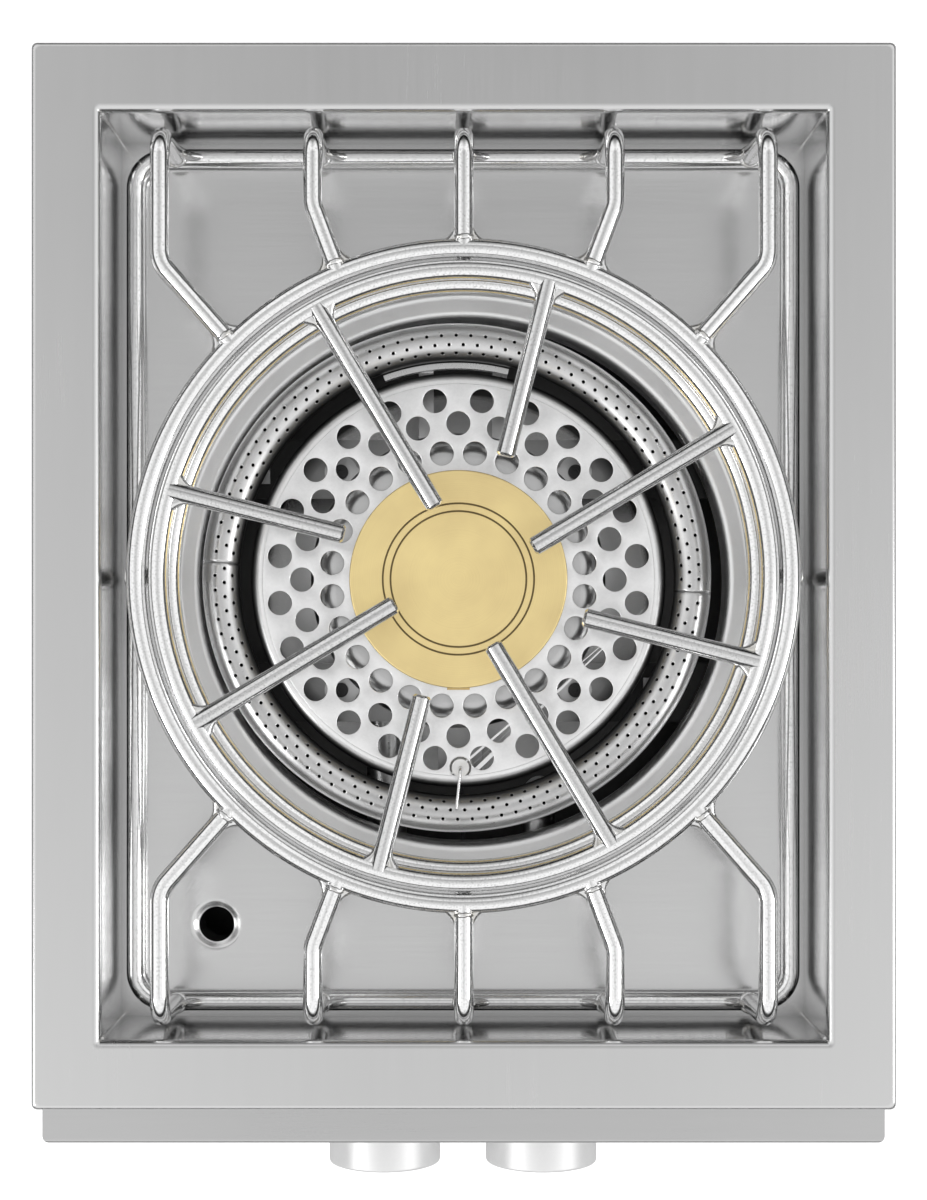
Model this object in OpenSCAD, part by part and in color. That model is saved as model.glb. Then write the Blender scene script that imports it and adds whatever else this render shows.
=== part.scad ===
// Built-in power burner: a deck with a recessed tray, a lift-out rod grate with a loose pot ring,
// a ring burner round an inner burner with a brass cap, and two push-and-turn gas valves.
// The modules draw about the middle of the deck, with its top face at z = 0 and the front at -Y.

/* [Deck] */
// Width of the deck, left to right
deck_w = 440; // [436:1:480]
// Depth of the deck, front to back
deck_d = 543; // [535:1:580]
// Width of the deck's border in front of and behind the tray
deck_border = 35.5; // [33:0.5:36]
// Height of the deck's turned-down edge
deck_edge_h = 21; // [16:1:26]
// Gap between the tray's walls and the flange returned under the deck's edge
flange_gap = 11.5; // [9.5:0.5:12.5]
// Thickness of the deck's sheet
deck_t = 1.5; // [1.2:0.1:2]
// Outer radius of the rolled lip round the tray
lip_r = 4; // [3:0.5:6]
// Outer radius of the fold along the deck's outer edge
edge_r = 2.5; // [2.2:0.1:4]
// Radius of the deck's corners, seen from above
deck_corner_r = 3; // [1:0.5:6]

/* [Tray] */
// Depth of the tray floor below the deck
tray_depth = 73; // [70:1:76]
// Thickness of the tray floor
floor_t = 1.5; // [1.2:0.1:2]
// Gap between the ring burner's tube and the edge of the burner opening
opening_gap = 4.5; // [4.5:0.1:6]
// Tray floor between the collar and the side walls
tray_side = 28.2; // [27:0.1:34]
// Middle of the burner opening from the middle of the deck, to the right and to the back
opening_at = [0.6, -0.9]; // [-1:0.1:1]
// Radial width of the raised collar round the opening
collar_w = 16; // [14:0.5:18]
// Height of the collar above the tray floor
collar_h = 8; // [6:0.5:9]
// Radius of the collar's rolled edges
collar_fold_r = 5; // [3:0.5:5]
// Depth of the skirt that the collar turns down inside the opening
collar_skirt_h = 6; // [2:0.5:8]
// Radius of the drain hole
drain_r = 9.5; // [7:0.5:11]
// Drain hole from the tray's left wall
drain_from_side = 51; // [40:1:70]
// Drain hole from the tray's front wall
drain_from_front = 49.6; // [40:0.1:60]
// Radius of the dimple pressed round the drain hole
dimple_r = 14; // [13:0.5:16]
// Depth of the dimple
dimple_h = 2; // [1:0.5:3]
// Length of the spigot under the drain hole
drain_spigot_l = 24; // [16:1:40]
// Wall of the drain spigot
drain_spigot_t = 1.5; // [1:0.1:2]

/* [Cabinet] */
// From the tray's side walls to the outside of the cabinet
cabinet_gap_x = 15.5; // [14:0.5:18]
// From the tray's front and rear walls to the cabinet's bulkhead and rear panel
cabinet_gap_y = 14; // [12.5:0.5:16]
// Height of the body, from the base to the deck's top
body_h = 245; // [235:1:270]
// Thickness of the cabinet's sheets
liner_t = 1.2; // [1:0.1:1.5]
// Width of the flanges that the end panels lap inside the side panels
lap_w = 14; // [10:1:18]
// Height of the heat shield above the base pan
shield_h = 62; // [40:1:80]
// Width of a vent slot
slot_w = 8; // [6:1:10]
// Length of a vent slot
slot_l = 60; // [40:1:70]
// Distance from one vent slot to the next
slot_pitch = 20; // [16:1:26]
// Radius of the fixing holes in the side panels
fixing_r = 2.75; // [2:0.25:4]
// Distance between the two fixing holes of a side panel
fixing_span = 320; // [240:10:400]
// Fixing holes below the deck
fixing_drop = 150; // [120:5:170]

/* [Control panel] */
// How far the control panel's ends stay inside the deck's edges
panel_inset = 2; // [0:0.5:4]
// Height of the control panel
panel_h = 184; // [160:1:200]
// How far the control panel stands in front of the deck
panel_reach = 21.5; // [18:0.5:26]
// Radius of the panel's front corners, seen from above
panel_corner_r = 4; // [3:0.5:8]
// Radius of the fold along the panel's top and bottom front edges
panel_fold_r = 2; // [1.5:0.5:3]

/* [Knobs] */
// Distance between the two knobs
knob_spacing = 84.8; // [78:0.2:100]
// Knob axis below the panel's top ledge
knob_drop = 56; // [50:1:60]
// Radius of a knob
knob_r = 30; // [24:0.5:34]
// Depth of a knob, back to front
knob_depth = 17; // [15:0.5:24]
// Gap between a knob and the panel, pulled out
knob_gap = 4.8; // [4.5:0.1:7]
// Travel of a knob when it is pushed in
knob_push = 3.5; // [2:0.1:3.5]
// Wall of the hollow knob
knob_wall = 3; // [2:0.5:4]
// Thickness of the knob's face
knob_face_t = 4; // [3:0.5:5]

/* [Grate] */
// Radius of the grate's rods
rod_r = 5; // [4.5:0.1:5]
// Gap between the base frame and the tray's side walls
grate_gap_x = 3.2; // [2:0.1:5]
// Gap between the base frame and the tray's front and rear walls
grate_gap_y = 4; // [3:0.1:6]
// Radius of the base frame's corners, to the middle of the rod
grate_corner_r = 16; // [12:1:24]
// Clearance between the lifted-out grate and the tray floor, and between rod and ring
seat_gap = 0.3; // [0.2:0.05:0.5]
// Gap filled by weld metal where one rod meets another
weld_gap = 0.15; // [0.1:0.05:0.3]
// Middle of the rings above the deck
ring_rise = 3; // [2:0.5:6]
// Leg rods lean in from the bar below them by this much
leg_lean = 3; // [1:0.5:4]
// Bend radius at the top of a leg
leg_bend_r = 12; // [10:1:14]
// Bend radius of a leg, seen from above
leg_turn_r = 16; // [12:1:18]
// Outer leg from the base frame's side bar
leg_3_inset = 22.3; // [20:0.1:26]
// How far the second leg is from halfway between its neighbours
leg_2_shift = 0.5; // [-2:0.1:2]
// Where the second leg turns, as a share of its way from the outer ring to the base frame
leg_2_turn = 0.49; // [0.42:0.01:0.54]
// Where the outer leg turns, as a share of its way from the outer ring to the base frame
leg_3_turn = 0.39; // [0.34:0.01:0.46]

/* [Rings] */
// From the edge of the burner opening out to the middle of the pot ring's rod
pot_ring_out = 14.7; // [14:0.1:16]
// Gap between the pot ring and the outer ring
ring_gap = 1; // [0.6:0.1:2]
// How far the seat ring is inside the pot ring, from rod to rod
seat_inset = 5.4; // [5:0.1:6]
// Radius of the stubs that tie the seat ring to the outer ring
stub_r = 4; // [3:0.5:4]
// Radius of the pot ring's fingers
finger_r = 4.8; // [4:0.1:5]
// Number of fingers, long and short in turn
finger_count = 8; // [6:2:8]
// Direction of the first long finger
finger_angle = 28.8; // [20:0.1:35]
// Distance by which a finger's axis misses the middle
finger_swirl = 5.5; // [4:0.5:7]
// Inner end of the long fingers from the middle
finger_long_in = 37.5; // [36:0.5:50]
// Inner end of the short fingers from the middle
finger_short_in = 64; // [55:1:75]

/* [Ring burner] */
// Middle of the ring burner from the middle of the deck
ring_at = [-3.4, 0.8]; // [-3.5:0.1:3.5]
// Radius of the ring burner, to the middle of its tube
ring_burner_r = 125.8; // [120:0.1:130]
// Radius of the ring burner's tube
ring_tube_r = 10; // [9:0.5:10]
// Wall of the ring burner's tube
ring_wall = 1.5; // [1:0.1:2]
// Top of the ring burner below the deck
ring_drop = 47; // [45:0.5:52]
// Direction of the seam between the two half rings
ring_seam_angle = -3.5; // [-10:0.5:10]
// Radius of the tube that feeds the ring burner
ring_feed_r = 9; // [8:0.5:9]

/* [Inner burner] */
// Middle of the inner burner from the middle of the deck
burner_at = [-2.6, -0.2]; // [-3:0.1:3]
// Radius of the brass cap
cap_r = 57.7; // [54:0.1:60]
// Top of the brass cap below the deck
cap_drop = 45; // [44:0.5:47]
// Thickness of the brass cap
cap_t = 4; // [3:0.5:5]
// Radii of the two grooves in the cap
cap_grooves = [40, 35.9]; // [30:0.1:50]
// Width of a groove
groove_w = 0.8; // [0.5:0.1:1.2]
// Depth of a groove
groove_h = 0.7; // [0.3:0.1:1]
// Outer radius of the brass port ring under the cap
port_ring_r = 51; // [49:0.5:52]
// Wall of the port ring
port_ring_t = 6; // [5:0.5:6]
// Number of flame slots in the port ring
flame_slots = 36; // [24:1:40]
// Gap between the perforated disc and the ring burner's tube
disc_gap = 4.8; // [4:0.1:7]
// Top of the perforated disc below the deck
disc_drop = 55; // [54:0.5:56]
// Thickness of the disc
disc_t = 1.2; // [1:0.1:1.5]
// Radius of the disc's rolled rim
disc_rim_r = 6; // [4:0.5:6]
// Depth of the disc's skirt
disc_skirt_h = 14; // [10:1:18]
// Distances of the three rows of holes from the disc's edge
vent_insets = [43.2, 27.6, 15]; // [13:0.1:46]
// Number of holes in a row
vent_count = 24; // [18:1:24]
// Radius of a hole in the disc
vent_r = 6.35; // [5:0.05:6.4]
// Radius of the inner burner's body
bowl_r = 80; // [76:0.5:80]
// Sheet of the inner burner's body and base
bowl_t = 2; // [1.5:0.1:2]
// Radius of the inner burner's shoulder
bowl_fold_r = 14; // [10:1:16]
// Radius of the tube that feeds the inner burner
inner_feed_r = 11; // [9:0.5:11]

/* [Burner carriers] */
// Top of the two crossmembers below the deck
crossmember_drop = 86; // [85:0.5:90]
// Middle of a crossmember in front of or behind the middle of the deck
crossmember_y = 61; // [58:1:66]
// Width of a crossmember
crossmember_w = 32; // [28:1:34]
// How far a crossmember's turned-up ends are outside the burner opening
crossmember_out = 9.7; // [8:0.1:14]
// Thickness of a crossmember
crossmember_t = 2; // [1.5:0.1:2]
// Distance between the ear screws, left to right and front to back
ear_span = [128, 119]; // [110:1:130]
// Radius of the heads of the ear screws
ear_head_r = 4; // [3:0.5:4.5]
// Radius of the shafts of the ear screws
ear_screw_r = 2.4; // [1.5:0.1:2.5]

/* [Igniter] */
// Middle of the electrode from the disc's edge
electrode_inset = 10.8; // [10.2:0.1:12]
// Electrode to the right of the inner burner's middle
electrode_x = 1.1; // [-2:0.1:2]
// Radius of the ceramic
ceramic_r = 4.65; // [4:0.05:5]
// Radius of the electrode's wire
wire_r = 0.9; // [0.6:0.1:1.2]
// Height of the spark gap over the ring burner
spark_gap = 2.5; // [2:0.5:4]
// Radius of the ignition lead
lead_r = 1.5; // [1:0.1:1.8]

/* [Gas train] */
// Axis of the venturi tubes and jets below the deck
jet_drop = 112; // [110:1:116]
// Outlet of a valve below the deck
outlet_drop = 90; // [88:1:92]
// Radius of the gas tubes
gas_tube_r = 4; // [3:0.5:4]
// Wall of the tubes that carry gas
gas_wall = 1; // [0.8:0.1:1.2]
// Radius of the manifold
manifold_r = 10.65; // [9:0.05:11]
// Axis of the manifold below the deck
manifold_drop = 115; // [114:1:120]
// Left end of the manifold from the middle
manifold_left = 95; // [75:1:120]
// Right end of the manifold from the middle
manifold_right = 150; // [140:1:154]
// Radius of the feed pipe
feed_pipe_r = 6; // [5:0.5:7]
// Radius of the inlet fitting's thread
inlet_thread_r = 7.95; // [7:0.05:9]
// Length of the inlet thread behind the rear panel
inlet_thread_l = 18; // [12:1:20]
// Radius of a valve stem
stem_r = 4; // [3.5:0.5:4]
// Running clearance of the stems and their plugs
stem_clearance = 0.05; // [0.03:0.01:0.08]

/* [Hidden] */
$fn = 72;

steel = [0.78, 0.78, 0.79];
satin = [0.70, 0.70, 0.71];
rod_steel = [0.86, 0.86, 0.87];
brass = [0.90, 0.80, 0.56];
zinc = [0.62, 0.63, 0.64];
dark = [0.18, 0.18, 0.19];

opening_r = ring_burner_r + ring_tube_r + opening_gap;
collar_r = opening_r + collar_w;
tray_w = 2 * (collar_r + tray_side);
tray_d = deck_d - 2 * deck_border;
side_border = (deck_w - tray_w) / 2;
box_w = tray_w + 2 * cabinet_gap_x;
box_d = tray_d + 2 * cabinet_gap_y;
panel_w = deck_w - 2 * panel_inset;
frame_y = (panel_reach + knob_gap + knob_depth) / 2;
big = 2 * deck_d;

floor_z = -tray_depth;
floor_under = floor_z - floor_t;
collar_top = floor_z + collar_h;
drain_at = [-tray_w / 2 + drain_from_side, -tray_d / 2 + drain_from_front];

base_z = -body_h;
pan_top = base_z + liner_t;
panel_top = -deck_edge_h;
panel_face = -deck_d / 2 - panel_reach;
panel_inner = panel_face + deck_t;
bulkhead_back = -box_d / 2;
bulkhead_face = bulkhead_back - liner_t;
wall_h = panel_top - pan_top;
side_x = box_w / 2;
cabinet_screw_r = 1.9;
cabinet_head_r = 3.6;
cabinet_head_h = 2;
hole_slack = 0.3;
joint_lap = 0.3;
joint_step = 0.02;

valve_x = knob_spacing / 2;
stem_z = panel_top - knob_drop;
knob_back = panel_face - knob_gap;
knob_front = knob_back - knob_depth;

bar_x = tray_w / 2 - grate_gap_x - rod_r;
bar_y = tray_d / 2 - grate_gap_y - rod_r;
bar_z = floor_z + rod_r + seat_gap;
ring_clearance = seat_gap + 0.1;
pot_ring_r = opening_r + pot_ring_out;
seat_ring_r = pot_ring_r - seat_inset;
outer_ring_r = pot_ring_r + 2 * rod_r + ring_gap;
seat_ring_z = ring_rise - sqrt(pow(2 * rod_r + ring_clearance, 2) - pow(seat_inset, 2));
stub_z = ring_rise - rod_r - ring_clearance - stub_r;
leg_2_angle = 22.5;
leg_3_angle = 45;
leg_3_x = bar_x - leg_3_inset;
leg_2_x = leg_3_x / 2 - leg_2_shift;

ring_z = -ring_drop - ring_tube_r;
ring_bottom = ring_z - ring_tube_r;
disc_r = ring_burner_r - ring_tube_r - disc_gap;
vent_rows = [for (inset = vent_insets) disc_r - inset];
disc_z = -disc_drop;
disc_under = disc_z - disc_t;
neck_r = port_ring_r + 3;
neck_in = port_ring_r - port_ring_t;
cap_under = -cap_drop - cap_t;
crossmember_z = -crossmember_drop;
crossmember_l = 2 * (opening_r + crossmember_out);
bowl_bottom = crossmember_z + bowl_t;
bowl_top = disc_under - 7.8;
ring_feed_y = ring_at.y - sqrt(pow(ring_burner_r, 2) - pow(valve_x - ring_at.x, 2));

electrode_reach = disc_r - electrode_inset;
electrode_at = [burner_at.x + electrode_x, burner_at.y - electrode_reach];
ceramic_top = disc_z + 3;
ceramic_bottom = crossmember_z - 10;
spark_z = -ring_drop + spark_gap + wire_r;

jet_z = -jet_drop;
outlet_z = -outlet_drop;
manifold_z = -manifold_drop;
bell_gap = 48;
bell_l = 22;
bell_front = bulkhead_back + bell_gap;
bell_back = bell_front + bell_l;
bell_r = 15;
feed_bend_r = 16;
holder_r = 9;
holder_l = 10;
manifold_gap = 18;
manifold_y = bulkhead_back - manifold_gap;
feed_x = manifold_right + 15;
elbow_arm = 14;
inlet_nut_t = 4;
inlet_shank_r = inlet_thread_r + 1.2;
inlet_nut_r = inlet_thread_r + 5;
rear_face = box_d / 2;

valve_gap = 8;
valve_l = 26;
valve_back = bulkhead_back - valve_gap;
valve_front = valve_back - valve_l;
valve_half_w = 12;
valve_over = 11;
valve_under = 21;
neck_valve_r = 9;
chamber_reach = 4;
chamber_l = 16;
chamber_front = valve_front - chamber_reach;
chamber_back = chamber_front + chamber_l;
chamber_r = 7;
plug_r = stem_r + 1;
plug_bore_l = 11;
plug_back = chamber_back + plug_bore_l;
plug_l = 6.5;
passage_r = 3;
inlet_boss_r = 6.5;
flange_half_w = 22;
flange_half_h = 9;
flange_t = 2;
valve_screw_x = 16;
valve_screw_r = 2;

lap_screw_ys = [bulkhead_back + lap_w / 2, rear_face - liner_t - lap_w / 2];
lap_screw_top = 25;
lap_screw_foot = 35;
lap_screw_zs = [panel_top - lap_screw_top, base_z + lap_screw_foot];
vent_foot = 30;
outlet_boss_r = 7;
grommet_r = 5;
ear_xs = [burner_at.x - ear_span.x / 2, burner_at.x + ear_span.x / 2];
ear_ys = [burner_at.y - ear_span.y / 2, burner_at.y + ear_span.y / 2];
jet_neck_r = 6;
disc_clearance = 0.4;
collar_front = chamber_front + 1;
collar_t = 2;
stem_flat = 2.5;
stem_front = knob_front + knob_face_t + 1;
jet_r = 3;
jet_shank_l = 8;
neck_l = 4;

lead_clip_ys = [-182, -210];
lead_clip_z = -77.8;
lead_hole_z = -88;
lead_end_y = -266;

// Hand-chosen route of the ignition lead, from the electrode's tail to the igniter
lead_route = [
    [-1.5, -100.4, -106.4], [-1.5, -100.9, -110], [-1.4, -106, -112.5], [-1, -114, -112],
    [-0.6, -124, -107], [-0.3, -134, -99], [0, -143, -90], [0, -152, -82.5], [0, -162, -78.6],
    [0, -174, lead_clip_z], [0, -186, lead_clip_z], [0, -198, lead_clip_z], [0, -210, lead_clip_z],
    [0, -222, -78.4], [0, -232, -81], [0, -240, -85], [0, -247, -87.7], [0, -254, lead_hole_z],
    [0.6, -260, -86.5], [2, -264.5, -82], [4.5, lead_end_y, -75], [8.5, lead_end_y, -68],
    [14, lead_end_y, -61.5], [20.5, lead_end_y, -57], [27.6, lead_end_y, -56]
];

function unit(v) = v / norm(v);
function across(d) = unit(cross(d, abs(unit(d).z) > 0.9 ? [1, 0, 0] : [0, 0, 1]));
function basis(o, x, z) = let (y = cross(z, x)) [
    [x.x, y.x, z.x, o.x],
    [x.y, y.y, z.y, o.y],
    [x.z, y.z, z.z, o.z],
    [0, 0, 0, 1]
];
function half_angle(a, c, b) = acos(unit(a - c) * unit(b - c)) / 2;
function bend_at(bend, i) = is_list(bend) ? bend[i] : bend;
function trim(p, i, bend) = i == 0 || i == len(p) - 1
    ? 0
    : bend_at(bend, i) / tan(half_angle(p[i - 1], p[i], p[i + 1]));

function last_point(p) = p[len(p) - 1];
function on_axis(v) = max(abs(v.x), abs(v.y), abs(v.z)) >= norm(v) ? 1 : 0;

// Puts the middle of the whole object's base at the origin
module in_frame() {
    translate([0, frame_y, body_h])
        children();
}

// Straight rod from a to b
module rod_straight(a, b, r) {
    multmatrix(basis(a, across(b - a), unit(b - a)))
        cylinder(r = r, h = norm(b - a));
}

// Bend that rounds the corner c between a and b
module rod_elbow(a, c, b, bend, r) {
    half = half_angle(a, c, b);
    reach = bend / tan(half);
    middle = c + unit(unit(a - c) + unit(b - c)) * bend / sin(half);
    first = unit(c + unit(a - c) * reach - middle);
    last = unit(c + unit(b - c) * reach - middle);
    multmatrix(basis(middle, first, unit(cross(first, last))))
        rotate_extrude(angle = 180 - 2 * half)
            translate([bend, 0])
                circle(r);
}

// Rod of radius r along the corners p, rounded to one radius, or to a list with one for each point.
// Where a path leaves the axes, its straights are a hair thinner and run a little way into the bends.
module rod(p, bend, r) {
    askew = min([for (i = [0 : len(p) - 2]) on_axis(p[i + 1] - p[i])]) == 0;
    lap = askew ? joint_lap : 0;
    for (i = [0 : len(p) - 2]) {
        way = unit(p[i + 1] - p[i]);
        start = p[i] + way * (trim(p, i, bend) - (i > 0 ? lap : 0));
        finish = p[i + 1] - way * (trim(p, i + 1, bend) - (i < len(p) - 2 ? lap : 0));
        rod_straight(start, finish, r - (askew ? joint_step : 0));
    }
    for (i = [1 : 1 : len(p) - 2])
        rod_elbow(p[i - 1], p[i], p[i + 1], bend_at(bend, i), r);
}

// Ring of round section about the z axis
module ring(big_r, r) {
    rotate_extrude($fn = 144)
        translate([big_r, 0])
            circle(r, $fn = 48);
}

// Quarter of a round sheet fold, its outer side towards +x +y
module fold_section(r, t) {
    intersection() {
        difference() {
            circle(r);
            circle(r - t);
        }
        square(r);
    }
}

// Rounded rectangle about the origin
module round_rect(w, d, r) {
    square([w - 2 * r, d], center = true);
    square([w, d - 2 * r], center = true);
    for (x = [-1, 1], y = [-1, 1])
        translate([x * (w / 2 - r), y * (d / 2 - r)])
            circle(r);
}

// Slot with round ends along x
module slot(l, w) {
    square([l - w, w], center = true);
    for (x = [-1, 1])
        translate([x * (l - w) / 2, 0])
            circle(w / 2);
}

// Three rows of vent slots through a wall across y, one for each of the columns
module vent_slots(columns, depth) {
    for (column = columns, row = [0 : 2])
        translate([column * (slot_l + slot_pitch), 0, row * slot_pitch])
            rotate([90, 0, 0])
                linear_extrude(depth)
                    slot(slot_l, slot_w);
}

// Cylinder along +y
module along_y(r, l) {
    rotate([-90, 0, 0])
        cylinder(r = r, h = l);
}

// Section of a border of width w: x outward from the tray wall's inner face, y up from the top face
module deck_section(w) {
    translate([0, floor_under])
        square([deck_t, tray_depth + floor_t - lip_r]);
    translate([lip_r, -lip_r])
        mirror([1, 0])
            fold_section(lip_r, deck_t);
    translate([lip_r, -deck_t])
        square([w - lip_r - edge_r, deck_t]);
    translate([w - edge_r, -edge_r])
        fold_section(edge_r, deck_t);
    translate([w - deck_t, -deck_edge_h])
        square([deck_t, deck_edge_h - edge_r]);
    translate([flange_gap, -deck_edge_h])
        square([w - flange_gap, deck_t]);
}

// One side of the deck, mitred at both ends. Its border of width w begins at the tray wall, half_in
// from the middle; the sides that it meets begin half_along from the middle and are end_w wide.
module deck_side(half_in, w, half_along, end_w) {
    intersection() {
        translate([half_in, 0, 0])
            rotate([90, 0, 0])
                linear_extrude(2 * (half_along + end_w), center = true)
                    deck_section(w);
        translate([half_in, 0, -big / 2])
            linear_extrude(big)
                polygon([
                    [0, -half_along], [w, -half_along - end_w],
                    [w, half_along + end_w], [0, half_along]
                ]);
    }
}

module deck() {
    color(steel) in_frame()
        intersection() {
            union() {
                for (turn = [0, 180])
                    rotate([0, 0, turn]) {
                        deck_side(tray_w / 2, side_border, tray_d / 2, deck_border);
                        rotate([0, 0, 90])
                            deck_side(tray_d / 2, deck_border, tray_w / 2, side_border);
                    }
            }
            translate([0, 0, floor_under])
                linear_extrude(big)
                    round_rect(deck_w, deck_d, deck_corner_r);
        }
}

// Section of the collar: x from the opening's middle, y up from the deck's top
module collar_section() {
    fold_y = collar_top - collar_fold_r;
    translate([opening_r, floor_under - collar_skirt_h])
        square([floor_t, fold_y - floor_under + collar_skirt_h]);
    translate([opening_r + collar_fold_r, fold_y])
        mirror([1, 0])
            fold_section(collar_fold_r, floor_t);
    translate([opening_r + collar_fold_r, collar_top - floor_t])
        square([collar_w - 2 * collar_fold_r, floor_t]);
    translate([collar_r - collar_fold_r, fold_y])
        fold_section(collar_fold_r, floor_t);
    translate([collar_r - floor_t, floor_under])
        square([floor_t, fold_y - floor_under]);
}

module tray_floor() {
    color(steel) in_frame() {
        translate([0, 0, floor_under])
            linear_extrude(floor_t)
                difference() {
                    square([tray_w, tray_d], center = true);
                    translate(opening_at)
                        circle(collar_r - floor_t / 2, $fn = 144);
                    translate(drain_at)
                        circle(dimple_r);
                }
        translate(opening_at)
            rotate_extrude($fn = 144)
                collar_section();
        translate(drain_at)
            rotate_extrude()
                polygon([
                    [drain_r, floor_z - dimple_h], [dimple_r, floor_z],
                    [dimple_r, floor_under], [drain_r, floor_under - dimple_h]
                ]);
    }
}

// Spigot whose top follows the slope of the dimple
module drain_spigot() {
    top = floor_under - dimple_h;
    rise = drain_spigot_t * dimple_h / (dimple_r - drain_r);
    color(steel) in_frame()
        translate(drain_at)
            rotate_extrude()
                polygon([
                    [drain_r, top], [drain_r + drain_spigot_t, top + rise],
                    [drain_r + drain_spigot_t, top - drain_spigot_l], [drain_r, top - drain_spigot_l]
                ]);
}

// Wall of a side panel with its fixing holes and the screw holes of the laps
module side_panel(side) {
    color(satin) in_frame()
        difference() {
            translate([side > 0 ? side_x - liner_t : -side_x, bulkhead_back, pan_top])
                cube([liner_t, box_d - liner_t, wall_h]);
            for (y = [-1, 1])
                translate([side * side_x - liner_t * 2, y * fixing_span / 2, -fixing_drop])
                    rotate([0, 90, 0])
                        cylinder(r = fixing_r, h = 4 * liner_t);
            for (y = lap_screw_ys, z = lap_screw_zs)
                translate([side * side_x - liner_t * 2, y, z])
                    rotate([0, 90, 0])
                        cylinder(r = cabinet_screw_r + hole_slack, h = 4 * liner_t);
        }
}

module side_panel_left() {
    side_panel(-1);
}

module side_panel_right() {
    side_panel(1);
}

// End panel across the cabinet, with a lap flange inside each side panel
module end_panel(face_y, inward) {
    flange_y = inward > 0 ? face_y + liner_t : face_y - lap_w;
    difference() {
        union() {
            translate([-side_x, face_y, pan_top])
                cube([box_w, liner_t, wall_h]);
            for (x = [-side_x + liner_t, side_x - 2 * liner_t])
                translate([x, flange_y, pan_top])
                    cube([liner_t, lap_w, wall_h]);
        }
        for (z = lap_screw_zs)
            translate([-big / 2, flange_y + lap_w / 2, z])
                rotate([0, 90, 0])
                    cylinder(r = cabinet_screw_r + hole_slack, h = big);
    }
}

module rear_panel() {
    color(satin) in_frame()
        difference() {
            end_panel(rear_face - liner_t, -1);
            translate([feed_x, rear_face - 2 * liner_t, manifold_z])
                along_y(inlet_shank_r + hole_slack, 4 * liner_t);
            translate([0, rear_face + liner_t, base_z + shield_h + vent_foot])
                vent_slots([-1 : 1], 4 * liner_t);
        }
}

module front_bulkhead() {
    color(satin) in_frame()
        difference() {
            end_panel(bulkhead_face, 1);
            for (x = [-valve_x, valve_x])
                translate([x, bulkhead_face - liner_t, outlet_z])
                    along_y(outlet_boss_r + hole_slack, 4 * liner_t);
            translate([0, bulkhead_face - liner_t, lead_hole_z])
                along_y(grommet_r, 4 * liner_t);
            translate([feed_x, bulkhead_face - liner_t, manifold_z])
                along_y(feed_pipe_r + hole_slack, 4 * liner_t);
        }
}

module base_pan() {
    vent_y = 150;
    color(satin) in_frame()
        translate([0, 0, base_z])
            linear_extrude(liner_t)
                difference() {
                    translate([-side_x, bulkhead_face])
                        square([box_w, box_d + liner_t]);
                    for (y = [-1, 1], i = [-3 : 3])
                        translate([i * 2 * slot_pitch, y * vent_y])
                            rotate([0, 0, 90])
                                slot(slot_l, slot_w);
                }
}

// Flat plate on two turned-down sides, between the burners and the base
module heat_shield() {
    side_gap = 1;
    end_gap = 10;
    shield_w = box_w - 4 * liner_t - 2 * side_gap;
    shield_d = box_d - 2 * lap_w - 2 * end_gap;
    color(satin) in_frame()
        translate([0, 0, pan_top]) {
            translate([-shield_w / 2, -shield_d / 2, shield_h - liner_t])
                cube([shield_w, shield_d, liner_t]);
            for (x = [-shield_w / 2, shield_w / 2 - liner_t])
                translate([x, -shield_d / 2, 0])
                    cube([liner_t, shield_d, shield_h]);
        }
}

module cabinet_screws() {
    color(zinc) in_frame()
        for (side = [-1, 1], y = lap_screw_ys, z = lap_screw_zs)
            translate([side * side_x, y, z])
                rotate([0, side * 90, 0]) {
                    cylinder(r1 = cabinet_head_r, r2 = cabinet_head_r - 1, h = cabinet_head_h);
                    translate([0, 0, -3 * liner_t])
                        cylinder(r = cabinet_screw_r, h = 3 * liner_t);
                }
}

// Outside of the control panel, drawn in by t on every face but the back, which ends at back_y
module panel_block(t, back_y) {
    middle_z = panel_top - panel_h / 2;
    intersection() {
        linear_extrude(big, center = true)
            intersection() {
                translate([0, panel_face + panel_w / 2])
                    round_rect(panel_w - 2 * t, panel_w - 2 * t, panel_corner_r - t);
                translate([0, back_y - big / 2])
                    square(big, center = true);
            }
        rotate([90, 0, 90])
            linear_extrude(big, center = true)
                translate([panel_face + panel_w / 2, middle_z])
                    round_rect(panel_w - 2 * t, panel_h - 2 * t, panel_fold_r - t);
    }
}

// Folded box with a flange round its open back, held against the bulkhead
module control_panel() {
    color(steel) in_frame()
        difference() {
            panel_block(0, bulkhead_face);
            panel_block(deck_t, bulkhead_face - deck_t);
            translate([lap_w - side_x, bulkhead_face - deck_t - 1, panel_top - panel_h + lap_w])
                cube([2 * (side_x - lap_w), deck_t + 2, panel_h - 2 * lap_w]);
            for (x = [-valve_x, valve_x])
                translate([x, panel_face - 1, stem_z]) {
                    along_y(stem_r + 2, 2 + deck_t);
                    for (side = [-1, 1])
                        translate([side * valve_screw_x, 0, 0])
                            along_y(valve_screw_r + hole_slack, 2 + deck_t);
                }
            translate([0, panel_inner + 1, panel_top - panel_h + vent_foot])
                vent_slots([-1.5 : 1.5], 2 + deck_t);
        }
}

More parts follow.
